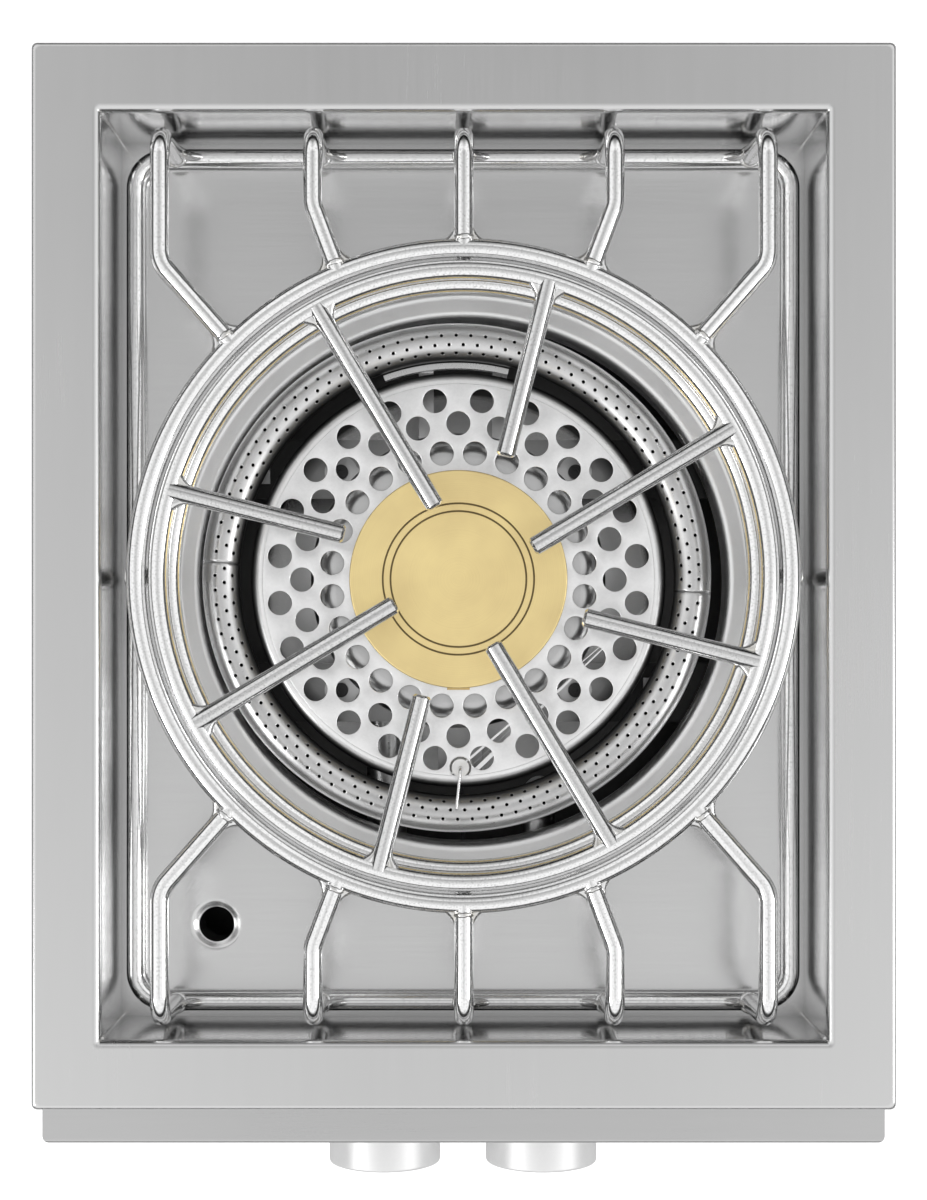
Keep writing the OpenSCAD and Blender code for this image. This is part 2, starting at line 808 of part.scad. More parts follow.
// Strip across the burner opening whose ends turn up to the tray floor
module crossmember(y) {
    half_l = crossmember_l / 2;
    end_h = floor_under - crossmember_z + crossmember_t;
    ear_y = burner_at.y + sign(y) * ear_span.y / 2 - y + crossmember_w / 2;
    color(satin) in_frame()
        translate([0, y - crossmember_w / 2, crossmember_z - crossmember_t])
            difference() {
                union() {
                    translate([-half_l, 0, 0])
                        cube([crossmember_l, crossmember_w, crossmember_t]);
                    for (side = [-1, 1])
                        translate([side * half_l, 0, 0])
                            mirror([side > 0 ? 1 : 0, 0, 0]) {
                                cube([crossmember_t, crossmember_w, end_h]);
                                translate([-lap_w, 0, end_h - crossmember_t])
                                    cube([lap_w + crossmember_t, crossmember_w, crossmember_t]);
                            }
                }
                for (x = ear_xs)
                    translate([x, ear_y, -1])
                        cylinder(r = ear_screw_r + hole_slack, h = crossmember_t + 2);
            }
}

module crossmember_front() {
    crossmember(-crossmember_y);
}

module crossmember_rear() {
    crossmember(crossmember_y);
}

// Dark screws that hold the inner burner's ears down on the crossmembers
module ear_screws() {
    head_h = 3;
    socket_h = 1.5;
    socket_r = 1.8;
    shaft_l = 10;
    color(dark) in_frame()
        for (x = ear_xs, y = ear_ys)
            translate([x, y, bowl_bottom]) {
                difference() {
                    cylinder(r = ear_head_r, h = head_h);
                    translate([0, 0, head_h - socket_h])
                        cylinder(r = socket_r, h = 2 * socket_h, $fn = 6);
                }
                translate([0, 0, -shaft_l])
                    cylinder(r = ear_screw_r, h = shaft_l);
            }
}

// Places children at the ring burner's middle, at the height of its tube
module at_ring() {
    translate([ring_at.x, ring_at.y, ring_z])
        children();
}

// Half of the ring burner's tube, from the direction start
module ring_burner_half(start) {
    at_ring()
        rotate([0, 0, start])
            rotate_extrude(angle = 180, $fn = 144)
                translate([ring_burner_r, 0])
                    difference() {
                        circle(ring_tube_r);
                        circle(ring_tube_r - ring_wall);
                    }
}

module ring_burner_rear() {
    color(steel) in_frame()
        ring_burner_half(ring_seam_angle);
}

module ring_burner_front() {
    color(steel) in_frame()
        difference() {
            ring_burner_half(ring_seam_angle + 180);
            translate([valve_x, ring_feed_y, ring_bottom - 1])
                cylinder(r = ring_feed_r - ring_wall, h = 1 + 2 * ring_wall);
        }
}

// Four saddles between the crossmembers and the ring burner
module ring_burner_feet() {
    foot_w = 16;
    foot_x = sqrt(pow(ring_burner_r, 2) - pow(crossmember_y, 2));
    color(steel) in_frame()
        difference() {
            for (x = [-1, 1], y = [-1, 1])
                translate([ring_at.x + x * foot_x, y * crossmember_y, crossmember_z]) {
                    translate([-foot_w / 2, -crossmember_t / 2, 0])
                        cube([foot_w, crossmember_t, ring_z - crossmember_z]);
                    translate([-foot_w / 2, -foot_w / 2, 0])
                        cube([foot_w, foot_w, crossmember_t]);
                }
            at_ring()
                ring(ring_burner_r, ring_tube_r + weld_gap);
        }
}

// Curved strip welded inside the rear of the ring burner, carried by the rear crossmember
module ring_burner_bracket() {
    strip_t = 3;
    strip_h = 6;
    strip_from = 76;
    strip_angle = 34;
    strip_out = ring_burner_r - ring_tube_r - 2 * hole_slack;
    strip_drop = 9;
    strip_bottom = ring_z - strip_drop;
    leg_w = 8;
    leg_t = 2;
    leg_lap = 12;
    leg_y = crossmember_y + crossmember_w / 2 - leg_lap;
    leg_z = crossmember_z - crossmember_t - leg_t;
    leg_l = strip_out - leg_y - leg_t;
    color(steel) in_frame() {
        difference() {
            translate([ring_at.x, ring_at.y, strip_bottom])
                rotate([0, 0, strip_from])
                    rotate_extrude(angle = strip_angle, $fn = 144)
                        translate([strip_out - strip_t, 0])
                            square([strip_t, strip_h]);
            at_ring()
                ring(ring_burner_r, ring_tube_r + weld_gap);
        }
        for (x = [-3 * leg_w, 2 * leg_w])
            translate([x, leg_y, leg_z]) {
                cube([leg_w, leg_l, leg_t]);
                translate([0, leg_l - leg_t, 0])
                    cube([leg_w, leg_t, strip_bottom - leg_z]);
            }
    }
}

// Venturi tube along the corners p, with a bell and a pierced end plate at its mouth
module venturi(p, r, bend) {
    plate_t = 1.5;
    air_hole_r = 2.4;
    air_hole_at = 10.5;
    bore = [p[0] - [0, 0.01, 0], each [for (i = [1 : len(p) - 2]) p[i]], last_point(p) + [0, 0, 1]];
    difference() {
        union() {
            rod(p, bend, r);
            translate([p[0].x, bell_front, p[0].z])
                rotate([-90, 0, 0])
                    cylinder(r1 = bell_r, r2 = r, h = bell_back - bell_front);
        }
        rod(bore, bend, r - ring_wall);
        translate([p[0].x, bell_front + plate_t, p[0].z])
            rotate([-90, 0, 0])
                cylinder(r1 = bell_r - ring_wall, r2 = r - ring_wall, h = bell_back - bell_front - plate_t);
        translate([p[0].x, bell_front - 1, p[0].z]) {
            along_y(jet_neck_r, 2 * plate_t);
            for (turn = [0 : 60 : 300])
                rotate([0, turn, 0])
                    translate([0, 0, air_hole_at])
                        along_y(air_hole_r, 2 * plate_t);
        }
    }
}

module ring_venturi() {
    color(steel) in_frame()
        difference() {
            venturi([
                [valve_x, bell_back, jet_z], [valve_x, ring_feed_y, jet_z], [valve_x, ring_feed_y, ring_z]
            ], ring_feed_r, feed_bend_r);
            at_ring()
                ring(ring_burner_r, ring_tube_r + weld_gap);
        }
}

module inner_venturi() {
    color(steel) in_frame()
        venturi([
            [-valve_x, bell_back, jet_z], [-valve_x, burner_at.y, jet_z],
            [burner_at.x, burner_at.y, jet_z], [burner_at.x, burner_at.y, crossmember_z]
        ], inner_feed_r, feed_bend_r);
}

// Places children at the inner burner's middle
module at_burner(z) {
    translate([burner_at.x, burner_at.y, z])
        children();
}

module inner_burner_bowl() {
    shoulder_y = bowl_top - bowl_fold_r;
    color(steel) in_frame()
        at_burner(0)
            rotate_extrude() {
                translate([bowl_r - bowl_t, bowl_bottom])
                    square([bowl_t, shoulder_y - bowl_bottom]);
                translate([bowl_r - bowl_fold_r, shoulder_y])
                    fold_section(bowl_fold_r, bowl_t);
                translate([neck_r - bowl_t, bowl_top - bowl_t])
                    square([bowl_r - bowl_fold_r - neck_r + bowl_t, bowl_t]);
                translate([neck_r - bowl_t, bowl_top - bowl_t])
                    square([bowl_t, disc_under - bowl_top + bowl_t]);
                translate([port_ring_r - bowl_t, disc_under - bowl_t])
                    square([neck_r - port_ring_r + bowl_t, bowl_t]);
            }
}

module inner_burner_base() {
    ear_r = 9;
    arm_half_w = 8;
    color(steel) in_frame()
        translate([0, 0, crossmember_z])
            linear_extrude(bowl_t)
                difference() {
                    union() {
                        translate(burner_at)
                            circle(bowl_r);
                        for (x = ear_xs, y = ear_ys) {
                            translate([x, y])
                                circle(ear_r);
                            translate(burner_at)
                                rotate(atan2(y - burner_at.y, x - burner_at.x))
                                    translate([0, -arm_half_w])
                                        square([norm([x, y] - burner_at), 2 * arm_half_w]);
                        }
                    }
                    translate(burner_at)
                        circle(inner_feed_r - ring_wall);
                    for (x = ear_xs, y = ear_ys)
                        translate([x, y])
                            circle(ear_screw_r + hole_slack);
                }
}

module perforated_disc() {
    color(steel) in_frame()
        at_burner(0) {
            translate([0, 0, disc_under])
                linear_extrude(disc_t)
                    difference() {
                        circle(disc_r - disc_rim_r, $fn = 144);
                        circle(neck_in + disc_clearance);
                        for (row = [0 : len(vent_rows) - 1], i = [0 : vent_count - 1])
                            rotate((i + (row % 2 == 0 ? 0.5 : 0)) * 360 / vent_count)
                                translate([vent_rows[row], 0])
                                    circle(vent_r);
                        translate([electrode_x, -electrode_reach])
                            circle(ceramic_r + 1);
                    }
            rotate_extrude($fn = 144) {
                translate([disc_r - disc_rim_r, disc_z - disc_rim_r])
                    fold_section(disc_rim_r, disc_t);
                translate([disc_r - disc_t, disc_z - disc_skirt_h])
                    square([disc_t, disc_skirt_h - disc_rim_r]);
            }
        }
}

// Brass ring with flame slots, its spigot down through the disc
module port_ring() {
    slot_h = 3;
    flame_w = 1.6;
    spigot_t = 2;
    lug_w = 12;
    lug_h = 2;
    lug_l = cap_r - port_ring_r + 3;
    color(brass) in_frame()
        at_burner(0)
            difference() {
                union() {
                    rotate_extrude() {
                        translate([neck_in, disc_z])
                            square([port_ring_t, cap_under - disc_z]);
                        translate([neck_in - spigot_t, disc_under - bowl_t])
                            square([spigot_t, cap_under - disc_under + bowl_t]);
                    }
                    translate([-lug_w / 2, -cap_r - 1, cap_under - slot_h])
                        cube([lug_w, lug_l, lug_h]);
                }
                for (i = [0 : flame_slots - 1])
                    rotate([0, 0, (i + 0.5) * 360 / flame_slots])
                        translate([neck_in - spigot_t - 1, -flame_w / 2, cap_under - slot_h])
                            cube([port_ring_t + 2 * spigot_t + 2, flame_w, slot_h + 1]);
            }
}

module burner_cap() {
    step = 0.8;
    spigot_h = 3;
    spigot_r = neck_in - 2 - disc_clearance;
    color(brass) in_frame()
        at_burner(cap_under)
            difference() {
                rotate_extrude($fn = 144)
                    union() {
                        square([cap_r - step, cap_t]);
                        square([cap_r, cap_t - step]);
                        translate([0, -spigot_h])
                            square([spigot_r, spigot_h + cap_t / 2]);
                    }
                for (r = cap_grooves)
                    translate([0, 0, cap_t - groove_h])
                        difference() {
                            cylinder(r = r + groove_w / 2, h = cap_t);
                            translate([0, 0, -1])
                                cylinder(r = r - groove_w / 2, h = cap_t + 2);
                        }
            }
}

// Places children at the electrode's axis
module at_electrode(z) {
    translate([electrode_at.x, electrode_at.y, z])
        children();
}

module electrode_ceramic() {
    shoulder_w = 2;
    shoulder_t = 3;
    color("white") in_frame()
        difference() {
            union() {
                at_electrode(ceramic_bottom)
                    cylinder(r = ceramic_r, h = ceramic_top - ceramic_bottom);
                at_electrode(crossmember_z)
                    cylinder(r = ceramic_r + shoulder_w, h = shoulder_t);
            }
            at_electrode(ceramic_bottom - 1)
                cylinder(r = wire_r + 0.1, h = ceramic_top - ceramic_bottom + 2);
        }
}

// Wire bent over towards the ring burner
module electrode_wire() {
    tip_l = 21.2;
    wire_turn = -6;
    tail_l = 10;
    bend = 3;
    color(zinc) in_frame()
        at_electrode(0)
            rotate([0, 0, wire_turn])
                rod([[0, 0, ceramic_bottom - tail_l], [0, 0, spark_z], [0, -tip_l, spark_z]], bend, wire_r);
}

// Plate under the front crossmember that holds the ceramic
module electrode_bracket() {
    plate_w = 24;
    plate_t = 1.5;
    pad_half_l = 10;
    back_y = -crossmember_y + 4;
    left_x = electrode_at.x - plate_w / 2;
    front_y = electrode_at.y - pad_half_l;
    color(satin) in_frame()
        difference() {
            union() {
                translate([left_x, front_y, crossmember_z - crossmember_t - plate_t])
                    cube([plate_w, back_y - front_y, plate_t]);
                translate([left_x, front_y, crossmember_z - crossmember_t])
                    cube([plate_w, 2 * pad_half_l, crossmember_t]);
            }
            at_electrode(ceramic_bottom)
                cylinder(r = ceramic_r + 0.1, h = -ceramic_bottom);
        }
}

// Points of a round section about the route's point p, across the direction d
function tube_ring(p, d, r, sides) = let (x = across(d), y = cross(unit(d), x)) [
    for (i = [0 : sides - 1]) p + r * (cos(i * 360 / sides) * x + sin(i * 360 / sides) * y)
];
function route_way(p, i) = p[min(i + 1, len(p) - 1)] - p[max(i - 1, 0)];

module ignition_lead() {
    sides = 8;
    rings = len(lead_route);
    points = [
        for (i = [0 : rings - 1])
            each tube_ring(lead_route[i], route_way(lead_route, i), lead_r, sides)
    ];
    walls = [
        for (i = [0 : rings - 2], j = [0 : sides - 1])
            let (a = i * sides + j, b = i * sides + (j + 1) % sides)
                each [[a, b, b + sides], [a, b + sides, a + sides]]
    ];
    ends = [
        for (j = [1 : sides - 2]) each [
            [0, j + 1, j],
            [(rings - 1) * sides, (rings - 1) * sides + j, (rings - 1) * sides + j + 1]
        ]
    ];
    color("firebrick") in_frame()
        polyhedron(points, concat(walls, ends));
}

// Clips that hold the lead up to the underside of the tray floor
module lead_clips() {
    clip_l = 8;
    clip_t = 1;
    clip_foot = 14;
    clip_r = lead_r + hole_slack;
    color(zinc) in_frame()
        for (y = lead_clip_ys)
            difference() {
                union() {
                    translate([0, y, lead_clip_z])
                        along_y(clip_r + clip_t, clip_l);
                    translate([-clip_t - clip_r, y, lead_clip_z])
                        cube([2 * (clip_t + clip_r), clip_l, floor_under - lead_clip_z]);
                    translate([-clip_t - clip_r, y, floor_under - clip_t])
                        cube([clip_foot, clip_l, clip_t]);
                }
                translate([0, y - 1, lead_clip_z])
                    along_y(clip_r, clip_l + 2);
            }
}

module lead_grommet() {
    lip_w = 2;
    color(dark) in_frame()
        translate([0, bulkhead_face - lip_w, lead_hole_z])
            difference() {
                union() {
                    along_y(grommet_r - 0.05, liner_t + 2 * lip_w);
                    along_y(grommet_r + lip_w, lip_w);
                    translate([0, lip_w + liner_t, 0])
                        along_y(grommet_r + lip_w, lip_w);
                }
                translate([0, -1, 0])
                    along_y(lead_r + 0.5, liner_t + 2 * lip_w + 2);
            }
}

// Push igniter on top of the ring burner's valve
module piezo_igniter() {
    box_h = 20;
    box_l = 22;
    nub_l = 2.4;
    nub_r = 2.5;
    color(dark) in_frame() {
        translate([valve_x - valve_half_w, valve_back - box_l, stem_z + valve_over])
            cube([2 * valve_half_w, box_l, box_h]);
        translate([valve_x - valve_half_w - nub_l, lead_end_y, stem_z + valve_over + box_h / 2])
            rotate([0, 90, 0])
                cylinder(r = nub_r, h = nub_l);
    }
}

// Cylinder along +x
module along_x(r, l) {
    rotate([0, 90, 0])
        cylinder(r = r, h = l);
}

module manifold() {
    manifold_wall = 2.1;
    color(zinc) in_frame()
        translate([-manifold_left, manifold_y, manifold_z])
            difference() {
                along_x(manifold_r, manifold_left + manifold_right);
                translate([-1, 0, 0])
                    along_x(manifold_r - manifold_wall, manifold_left + manifold_right + 2);
                for (x = [-valve_x, valve_x])
                    translate([manifold_left + x, 0, 0])
                        cylinder(r = passage_r, h = 2 * manifold_r);
            }
}

module manifold_plug() {
    plug_in = 8.4;
    plug_in_l = 8;
    head_l = 10;
    head_over = 1.5;
    color(brass) in_frame()
        translate([-manifold_left, manifold_y, manifold_z]) {
            translate([-head_l, 0, 0])
                rotate([0, 90, 0])
                    cylinder(r = manifold_r + head_over, h = head_l, $fn = 6);
            along_x(plug_in, plug_in_l);
        }
}

module manifold_elbow() {
    elbow_r = manifold_r + 0.8;
    color(brass) in_frame()
        translate([feed_x, manifold_y, manifold_z])
            difference() {
                union() {
                    translate([manifold_right - feed_x, 0, 0])
                        along_x(elbow_r, feed_x - manifold_right);
                    sphere(elbow_r);
                    along_y(elbow_r, elbow_arm);
                }
                translate([manifold_right - feed_x - 1, 0, 0])
                    along_x(feed_pipe_r - gas_wall, feed_x - manifold_right + 1);
                along_y(feed_pipe_r - gas_wall, elbow_arm + 1);
            }
}

module feed_pipe() {
    start = manifold_y + elbow_arm;
    finish = rear_face - liner_t - inlet_nut_t;
    color(zinc) in_frame()
        translate([feed_x, start, manifold_z])
            difference() {
                along_y(feed_pipe_r, finish - start);
                translate([0, -1, 0])
                    along_y(feed_pipe_r - gas_wall, finish - start + 2);
            }
}

module inlet_fitting() {
    bore_r = 4.5;
    color(brass) in_frame()
        translate([feed_x, rear_face - liner_t - inlet_nut_t, manifold_z])
            difference() {
                union() {
                    rotate([-90, 0, 0])
                        cylinder(r = inlet_nut_r, h = inlet_nut_t, $fn = 6);
                    along_y(inlet_shank_r, inlet_nut_t + liner_t);
                    along_y(inlet_thread_r, inlet_nut_t + liner_t + inlet_thread_l);
                }
                translate([0, -1, 0])
                    along_y(bore_r, inlet_nut_t + liner_t + inlet_thread_l + 2);
            }
}

module valve_body(x) {
    color(brass) in_frame()
        difference() {
            union() {
                translate([x - valve_half_w, valve_front, stem_z - valve_under])
                    cube([2 * valve_half_w, valve_back - valve_front, valve_over + valve_under]);
                translate([x - flange_half_w, panel_inner, stem_z - flange_half_h])
                    cube([2 * flange_half_w, flange_t, 2 * flange_half_h]);
                translate([x, panel_inner, stem_z])
                    along_y(neck_valve_r, valve_front - panel_inner);
                translate([x, manifold_y, manifold_z])
                    cylinder(r = inlet_boss_r, h = stem_z - valve_under - manifold_z);
                translate([x, valve_back, outlet_z])
                    along_y(outlet_boss_r, bulkhead_back - valve_back);
            }
            translate([x, panel_inner - 1, stem_z])
                along_y(stem_r + stem_clearance, chamber_front - panel_inner + 2);
            translate([x, chamber_front, stem_z])
                along_y(chamber_r, chamber_back - chamber_front);
            translate([x, chamber_back - 1, stem_z])
                along_y(plug_r + stem_clearance, plug_back - chamber_back + 1);
            for (side = [-1, 1])
                translate([x + side * valve_screw_x, panel_inner - 1, stem_z])
                    along_y(valve_screw_r + hole_slack, flange_t + 2);
            translate([x, manifold_y, manifold_z - 1])
                cylinder(r = passage_r, h = stem_z - manifold_z + 1);
            translate([x, manifold_y, outlet_z])
                along_y(gas_tube_r - gas_wall, bulkhead_back - manifold_y + 1);
            translate([x - big / 2, manifold_y, manifold_z])
                along_x(manifold_r + weld_gap, big);
        }
}

module valve_body_left() {
    valve_body(-valve_x);
}

module valve_body_right() {
    valve_body(valve_x);
}

module valve_screws() {
    head_t = 1.8;
    head_r = 3.5;
    nut_end = 1.5;
    color(zinc) in_frame()
        for (x = [-valve_x, valve_x], side = [-1, 1])
            translate([x + side * valve_screw_x, panel_face, stem_z]) {
                translate([0, -head_t, 0])
                    along_y(head_r, head_t);
                along_y(valve_screw_r, deck_t + flange_t + nut_end);
            }
}

// Collar pushed by the stem's shoulder against the return spring
module spring_collar(x) {
    color(zinc) in_frame()
        translate([x, collar_front, stem_z])
            difference() {
                along_y(chamber_r - 0.1, collar_t);
                translate([0, -1, 0])
                    along_y(stem_r + stem_clearance, collar_t + 2);
            }
}

module spring_collar_left() {
    spring_collar(-valve_x);
}

module spring_collar_right() {
    spring_collar(valve_x);
}

// Space of the return spring inside a valve, between the collar and the chamber's end
module stem_spring(x) {
    spring_front = collar_front + collar_t;
    color(zinc) in_frame()
        translate([x, spring_front, stem_z])
            difference() {
                along_y(chamber_r - 0.5, chamber_back - spring_front);
                translate([0, -1, 0])
                    along_y(stem_r + 0.8, chamber_back - spring_front + 2);
            }
}

module stem_spring_left() {
    stem_spring(-valve_x);
}

module stem_spring_right() {
    stem_spring(valve_x);
}

// Stem with its flat for the knob, the shoulder on the collar and the gas plug at its end
module valve_stem(x) {
    shoulder_t = 0.9;
    color(brass) in_frame()
        translate([x, 0, stem_z])
            difference() {
                union() {
                    translate([0, stem_front, 0])
                        along_y(stem_r, chamber_back - stem_front + plug_l);
                    translate([0, collar_front - shoulder_t, 0])
                        along_y(stem_r + 1.2, shoulder_t);
                    translate([0, chamber_back + 0.2, 0])
                        along_y(plug_r, plug_l);
                }
                translate([-stem_r - 1, stem_front - 1, stem_flat])
                    cube([2 * stem_r + 2, knob_back - stem_front + 1, stem_r]);
            }
}

module valve_stem_left() {
    valve_stem(-valve_x);
}

module valve_stem_right() {
    valve_stem(valve_x);
}

// Hollow round knob with a hub on the stem's flat and a pointer groove in its face
module knob(x) {
    rim_r = 1.5;
    hub_r = 8;
    pointer_l = 14;
    pointer_w = 1.6;
    pointer_h = 0.6;
    pointer_in = 4;
    color(zinc) in_frame()
        translate([x, knob_back, stem_z])
            rotate([90, 0, 0])
                difference() {
                    rotate_extrude() {
                        difference() {
                            union() {
                                square([knob_r - rim_r, knob_depth]);
                                square([knob_r, knob_depth - rim_r]);
                                translate([knob_r - rim_r, knob_depth - rim_r])
                                    circle(rim_r);
                            }
                            translate([-1, -1])
                                square([knob_r - knob_wall + 1, knob_depth - knob_face_t + 1]);
                        }
                        square([hub_r, knob_depth - knob_face_t + 0.5]);
                    }
                    difference() {
                        translate([0, 0, -1])
                            cylinder(r = stem_r + 0.1, h = knob_back - stem_front + 1.2);
                        translate([-stem_r - 1, stem_flat + 0.1, -2])
                            cube([2 * stem_r + 2, stem_r, knob_depth]);
                    }
                    translate([-pointer_w / 2, knob_r - pointer_in - pointer_l, knob_depth - pointer_h])
                        cube([pointer_w, pointer_l, 2 * pointer_h]);
                }
}

module knob_left() {
    knob(-valve_x);
}

module knob_right() {
    knob(valve_x);
}

module gas_tubes() {
    run = 12;
    bend = 3 * gas_tube_r;
    color(brass) in_frame()
        for (x = [-valve_x, valve_x]) {
            start = [x, bulkhead_back, outlet_z];
            finish = [x, bell_front - holder_l, jet_z];
            corners = [start + [0, run, 0], finish - [0, run, 0]];
            difference() {
                rod([start, each corners, finish], bend, gas_tube_r);
                rod([start - [0, 1, 0], each corners, finish + [0, 1, 0]], bend, gas_tube_r - gas_wall);
            }
        }
}

module jet_holders() {
    color(brass) in_frame()
        for (x = [-valve_x, valve_x])
            translate([x, bell_front - holder_l, jet_z])
                difference() {
                    union() {
                        rotate([-90, 0, 0])
                            cylinder(r = holder_r, h = holder_l, $fn = 6);
                        along_y(jet_neck_r - 0.1, holder_l + neck_l);
                    }
                    translate([0, -1, 0])
                        along_y(jet_r + 0.05, holder_l + neck_l + 2);
                }
}

module jets() {
    head_r = 5;
    head_l = 5;
    bore_r = 0.8;
    color(brass) in_frame()
        for (x = [-valve_x, valve_x])
            translate([x, bell_front + neck_l, jet_z])
                difference() {
                    union() {
                        translate([0, -jet_shank_l, 0])
                            along_y(jet_r, jet_shank_l);
                        rotate([-90, 0, 0])
                            cylinder(r = head_r, h = head_l, $fn = 6);
                    }
                    translate([0, -jet_shank_l - 1, 0])
                        along_y(bore_r, jet_shank_l + head_l + 2);
                }
}

module grate_base() {
    color(rod_steel) in_frame()
        rod([
            [0, bar_y, bar_z], [bar_x, bar_y, bar_z], [bar_x, -bar_y, bar_z],
            [-bar_x, -bar_y, bar_z], [-bar_x, bar_y, bar_z], [0, bar_y, bar_z]
        ], grate_corner_r, rod_r);
}

// Leg from the bar at y = bar_y up and in to the outer ring, which it meets at the angle from +y.
// It turns after the given share of the way out from the ring, and is coped to the bar and the ring.
module leg(x, share, angle) {
    foot = [x, bar_y, bar_z];
    top = [x, bar_y - leg_lean, ring_rise];
    meeting = [outer_ring_r * sin(angle), outer_ring_r * cos(angle), ring_rise];
    turn = share > 0 ? [[x, meeting.y + share * (top.y - meeting.y), ring_rise]] : [];
    difference() {
        rod([foot, top, each turn, meeting], [0, leg_bend_r, leg_turn_r, 0], rod_r);
        translate(foot - [2 * rod_r, 0, 0])
            along_x(rod_r + weld_gap, 4 * rod_r);
        translate([0, 0, ring_rise])
            ring(outer_ring_r, rod_r + weld_gap);
    }
}

// Five legs behind the rings
module legs() {
    leg(0, 0, 0);
    for (side = [-1, 1]) {
        leg(side * leg_2_x, leg_2_turn, side * leg_2_angle);
        leg(side * leg_3_x, leg_3_turn, side * leg_3_angle);
    }
}

module grate_legs_rear() {
    color(rod_steel) in_frame()
        legs();
}

module grate_legs_front() {
    color(rod_steel) in_frame()
        mirror([0, 1, 0])
            legs();
}

module grate_outer_ring() {
    color(rod_steel) in_frame()
        translate([0, 0, ring_rise])
            ring(outer_ring_r, rod_r);
}

module grate_seat_ring() {
    color(rod_steel) in_frame()
        translate([0, 0, seat_ring_z])
            ring(seat_ring_r, rod_r);
}

// Stubs between the seat ring and the outer ring, with a post down to each side bar
module grate_ties() {
    stub_lap = 2;
    color(rod_steel) in_frame()
        difference() {
            for (turn = [0 : 90 : 270])
                rotate([0, 0, turn]) {
                    rod_straight([seat_ring_r, 0, stub_z], [outer_ring_r + stub_lap, 0, stub_z], stub_r);
                    if (turn % 180 == 0)
                        rod_straight([bar_x, 0, bar_z], [outer_ring_r, 0, ring_rise], rod_r);
                }
            translate([0, 0, ring_rise])
                ring(outer_ring_r, rod_r + weld_gap);
            translate([0, 0, seat_ring_z])
                ring(seat_ring_r, rod_r + weld_gap);
            for (x = [-bar_x, bar_x])
                translate([x, -bar_y / 2, bar_z])
                    along_y(rod_r + weld_gap, bar_y);
        }
}

module pot_ring() {
    color(rod_steel) in_frame()
        translate([0, 0, ring_rise])
            ring(pot_ring_r, rod_r);
}

module pot_ring_fingers() {
    tip_l = 1.2;
    finger_z = seat_ring_z + rod_r + seat_gap + finger_r;
    color(rod_steel) in_frame()
        difference() {
            for (i = [0 : finger_count - 1]) {
                inner = i % 2 == 0 ? finger_long_in : finger_short_in;
                tip_x = sqrt(pow(inner, 2) - pow(finger_swirl, 2));
                root_x = sqrt(pow(pot_ring_r, 2) - pow(finger_swirl, 2));
                angle = finger_angle + i * 360 / finger_count + asin(finger_swirl / pot_ring_r);
                rotate([0, 0, angle])
                    translate([tip_x, -finger_swirl, finger_z])
                        rotate([0, 90, 0]) {
                            cylinder(r1 = finger_r - tip_l, r2 = finger_r, h = tip_l);
                            translate([0, 0, tip_l])
                                cylinder(r = finger_r, h = root_x - tip_x - tip_l);
                        }
            }
            translate([0, 0, ring_rise])
                ring(pot_ring_r, rod_r + weld_gap);
        }
}

deck();
tray_floor();
drain_spigot();
side_panel_left();
side_panel_right();
rear_panel();
front_bulkhead();
base_pan();
heat_shield();
cabinet_screws();
control_panel();
crossmember_front();
crossmember_rear();
ear_screws();
ring_burner_rear();
ring_burner_front();
ring_burner_feet();
ring_burner_bracket();
ring_venturi();
inner_burner_bowl();
inner_burner_base();
inner_venturi();
perforated_disc();
port_ring();
burner_cap();
electrode_ceramic();
electrode_wire();
electrode_bracket();
ignition_lead();
lead_clips();
lead_grommet();
piezo_igniter();
manifold();
manifold_plug();
manifold_elbow();
feed_pipe();
inlet_fitting();
valve_body_left();
valve_body_right();
valve_screws();
spring_collar_left();
spring_collar_right();
stem_spring_left();
stem_spring_right();
valve_stem_left();
valve_stem_right();
knob_left();
knob_right();
gas_tubes();
jet_holders();
jets();
grate_base();
grate_legs_front();
grate_legs_rear();
grate_outer_ring();
grate_seat_ring();
grate_ties();
pot_ring();
pot_ring_fingers();
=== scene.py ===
"""Dresses the built-in power burner.

It has a brushed deck with a recessed tray, a rod grate, two gas burners, push-and-turn valves and a
sheet steel cabinet. Shapes are worked out in millimetres about the middle of the deck's top face,
with the front at -y. place() turns them into the metres of the part's own frame.
"""

import logging
import math
from dataclasses import dataclass, field
from enum import Enum
from typing import Any, Optional, Sequence, Union

import bmesh
import bpy
import numpy as np
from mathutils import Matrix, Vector
from mathutils.geometry import delaunay_2d_cdt

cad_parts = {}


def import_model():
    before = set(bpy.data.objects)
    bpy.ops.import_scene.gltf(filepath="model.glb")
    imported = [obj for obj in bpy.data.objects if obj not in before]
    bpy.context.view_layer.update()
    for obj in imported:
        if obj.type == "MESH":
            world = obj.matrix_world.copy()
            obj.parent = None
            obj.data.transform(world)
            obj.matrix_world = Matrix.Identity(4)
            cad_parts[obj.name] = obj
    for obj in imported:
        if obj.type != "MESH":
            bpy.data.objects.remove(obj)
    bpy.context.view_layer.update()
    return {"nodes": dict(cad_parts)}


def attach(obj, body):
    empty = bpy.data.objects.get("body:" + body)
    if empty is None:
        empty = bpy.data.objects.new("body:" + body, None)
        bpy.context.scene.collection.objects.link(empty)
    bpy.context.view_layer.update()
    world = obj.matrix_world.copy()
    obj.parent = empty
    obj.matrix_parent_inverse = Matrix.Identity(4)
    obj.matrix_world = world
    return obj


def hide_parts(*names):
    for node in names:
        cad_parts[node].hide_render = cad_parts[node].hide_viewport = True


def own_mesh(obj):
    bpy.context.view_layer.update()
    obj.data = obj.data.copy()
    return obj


Array = np.ndarray
Number = Union[int, float]
Colour = tuple[float, float, float, float]
Row = tuple[float, float, float, int]
Material = bpy.types.Material

LOG = logging.getLogger("power_burner")

# Metres in a millimetre.
MM = 0.001

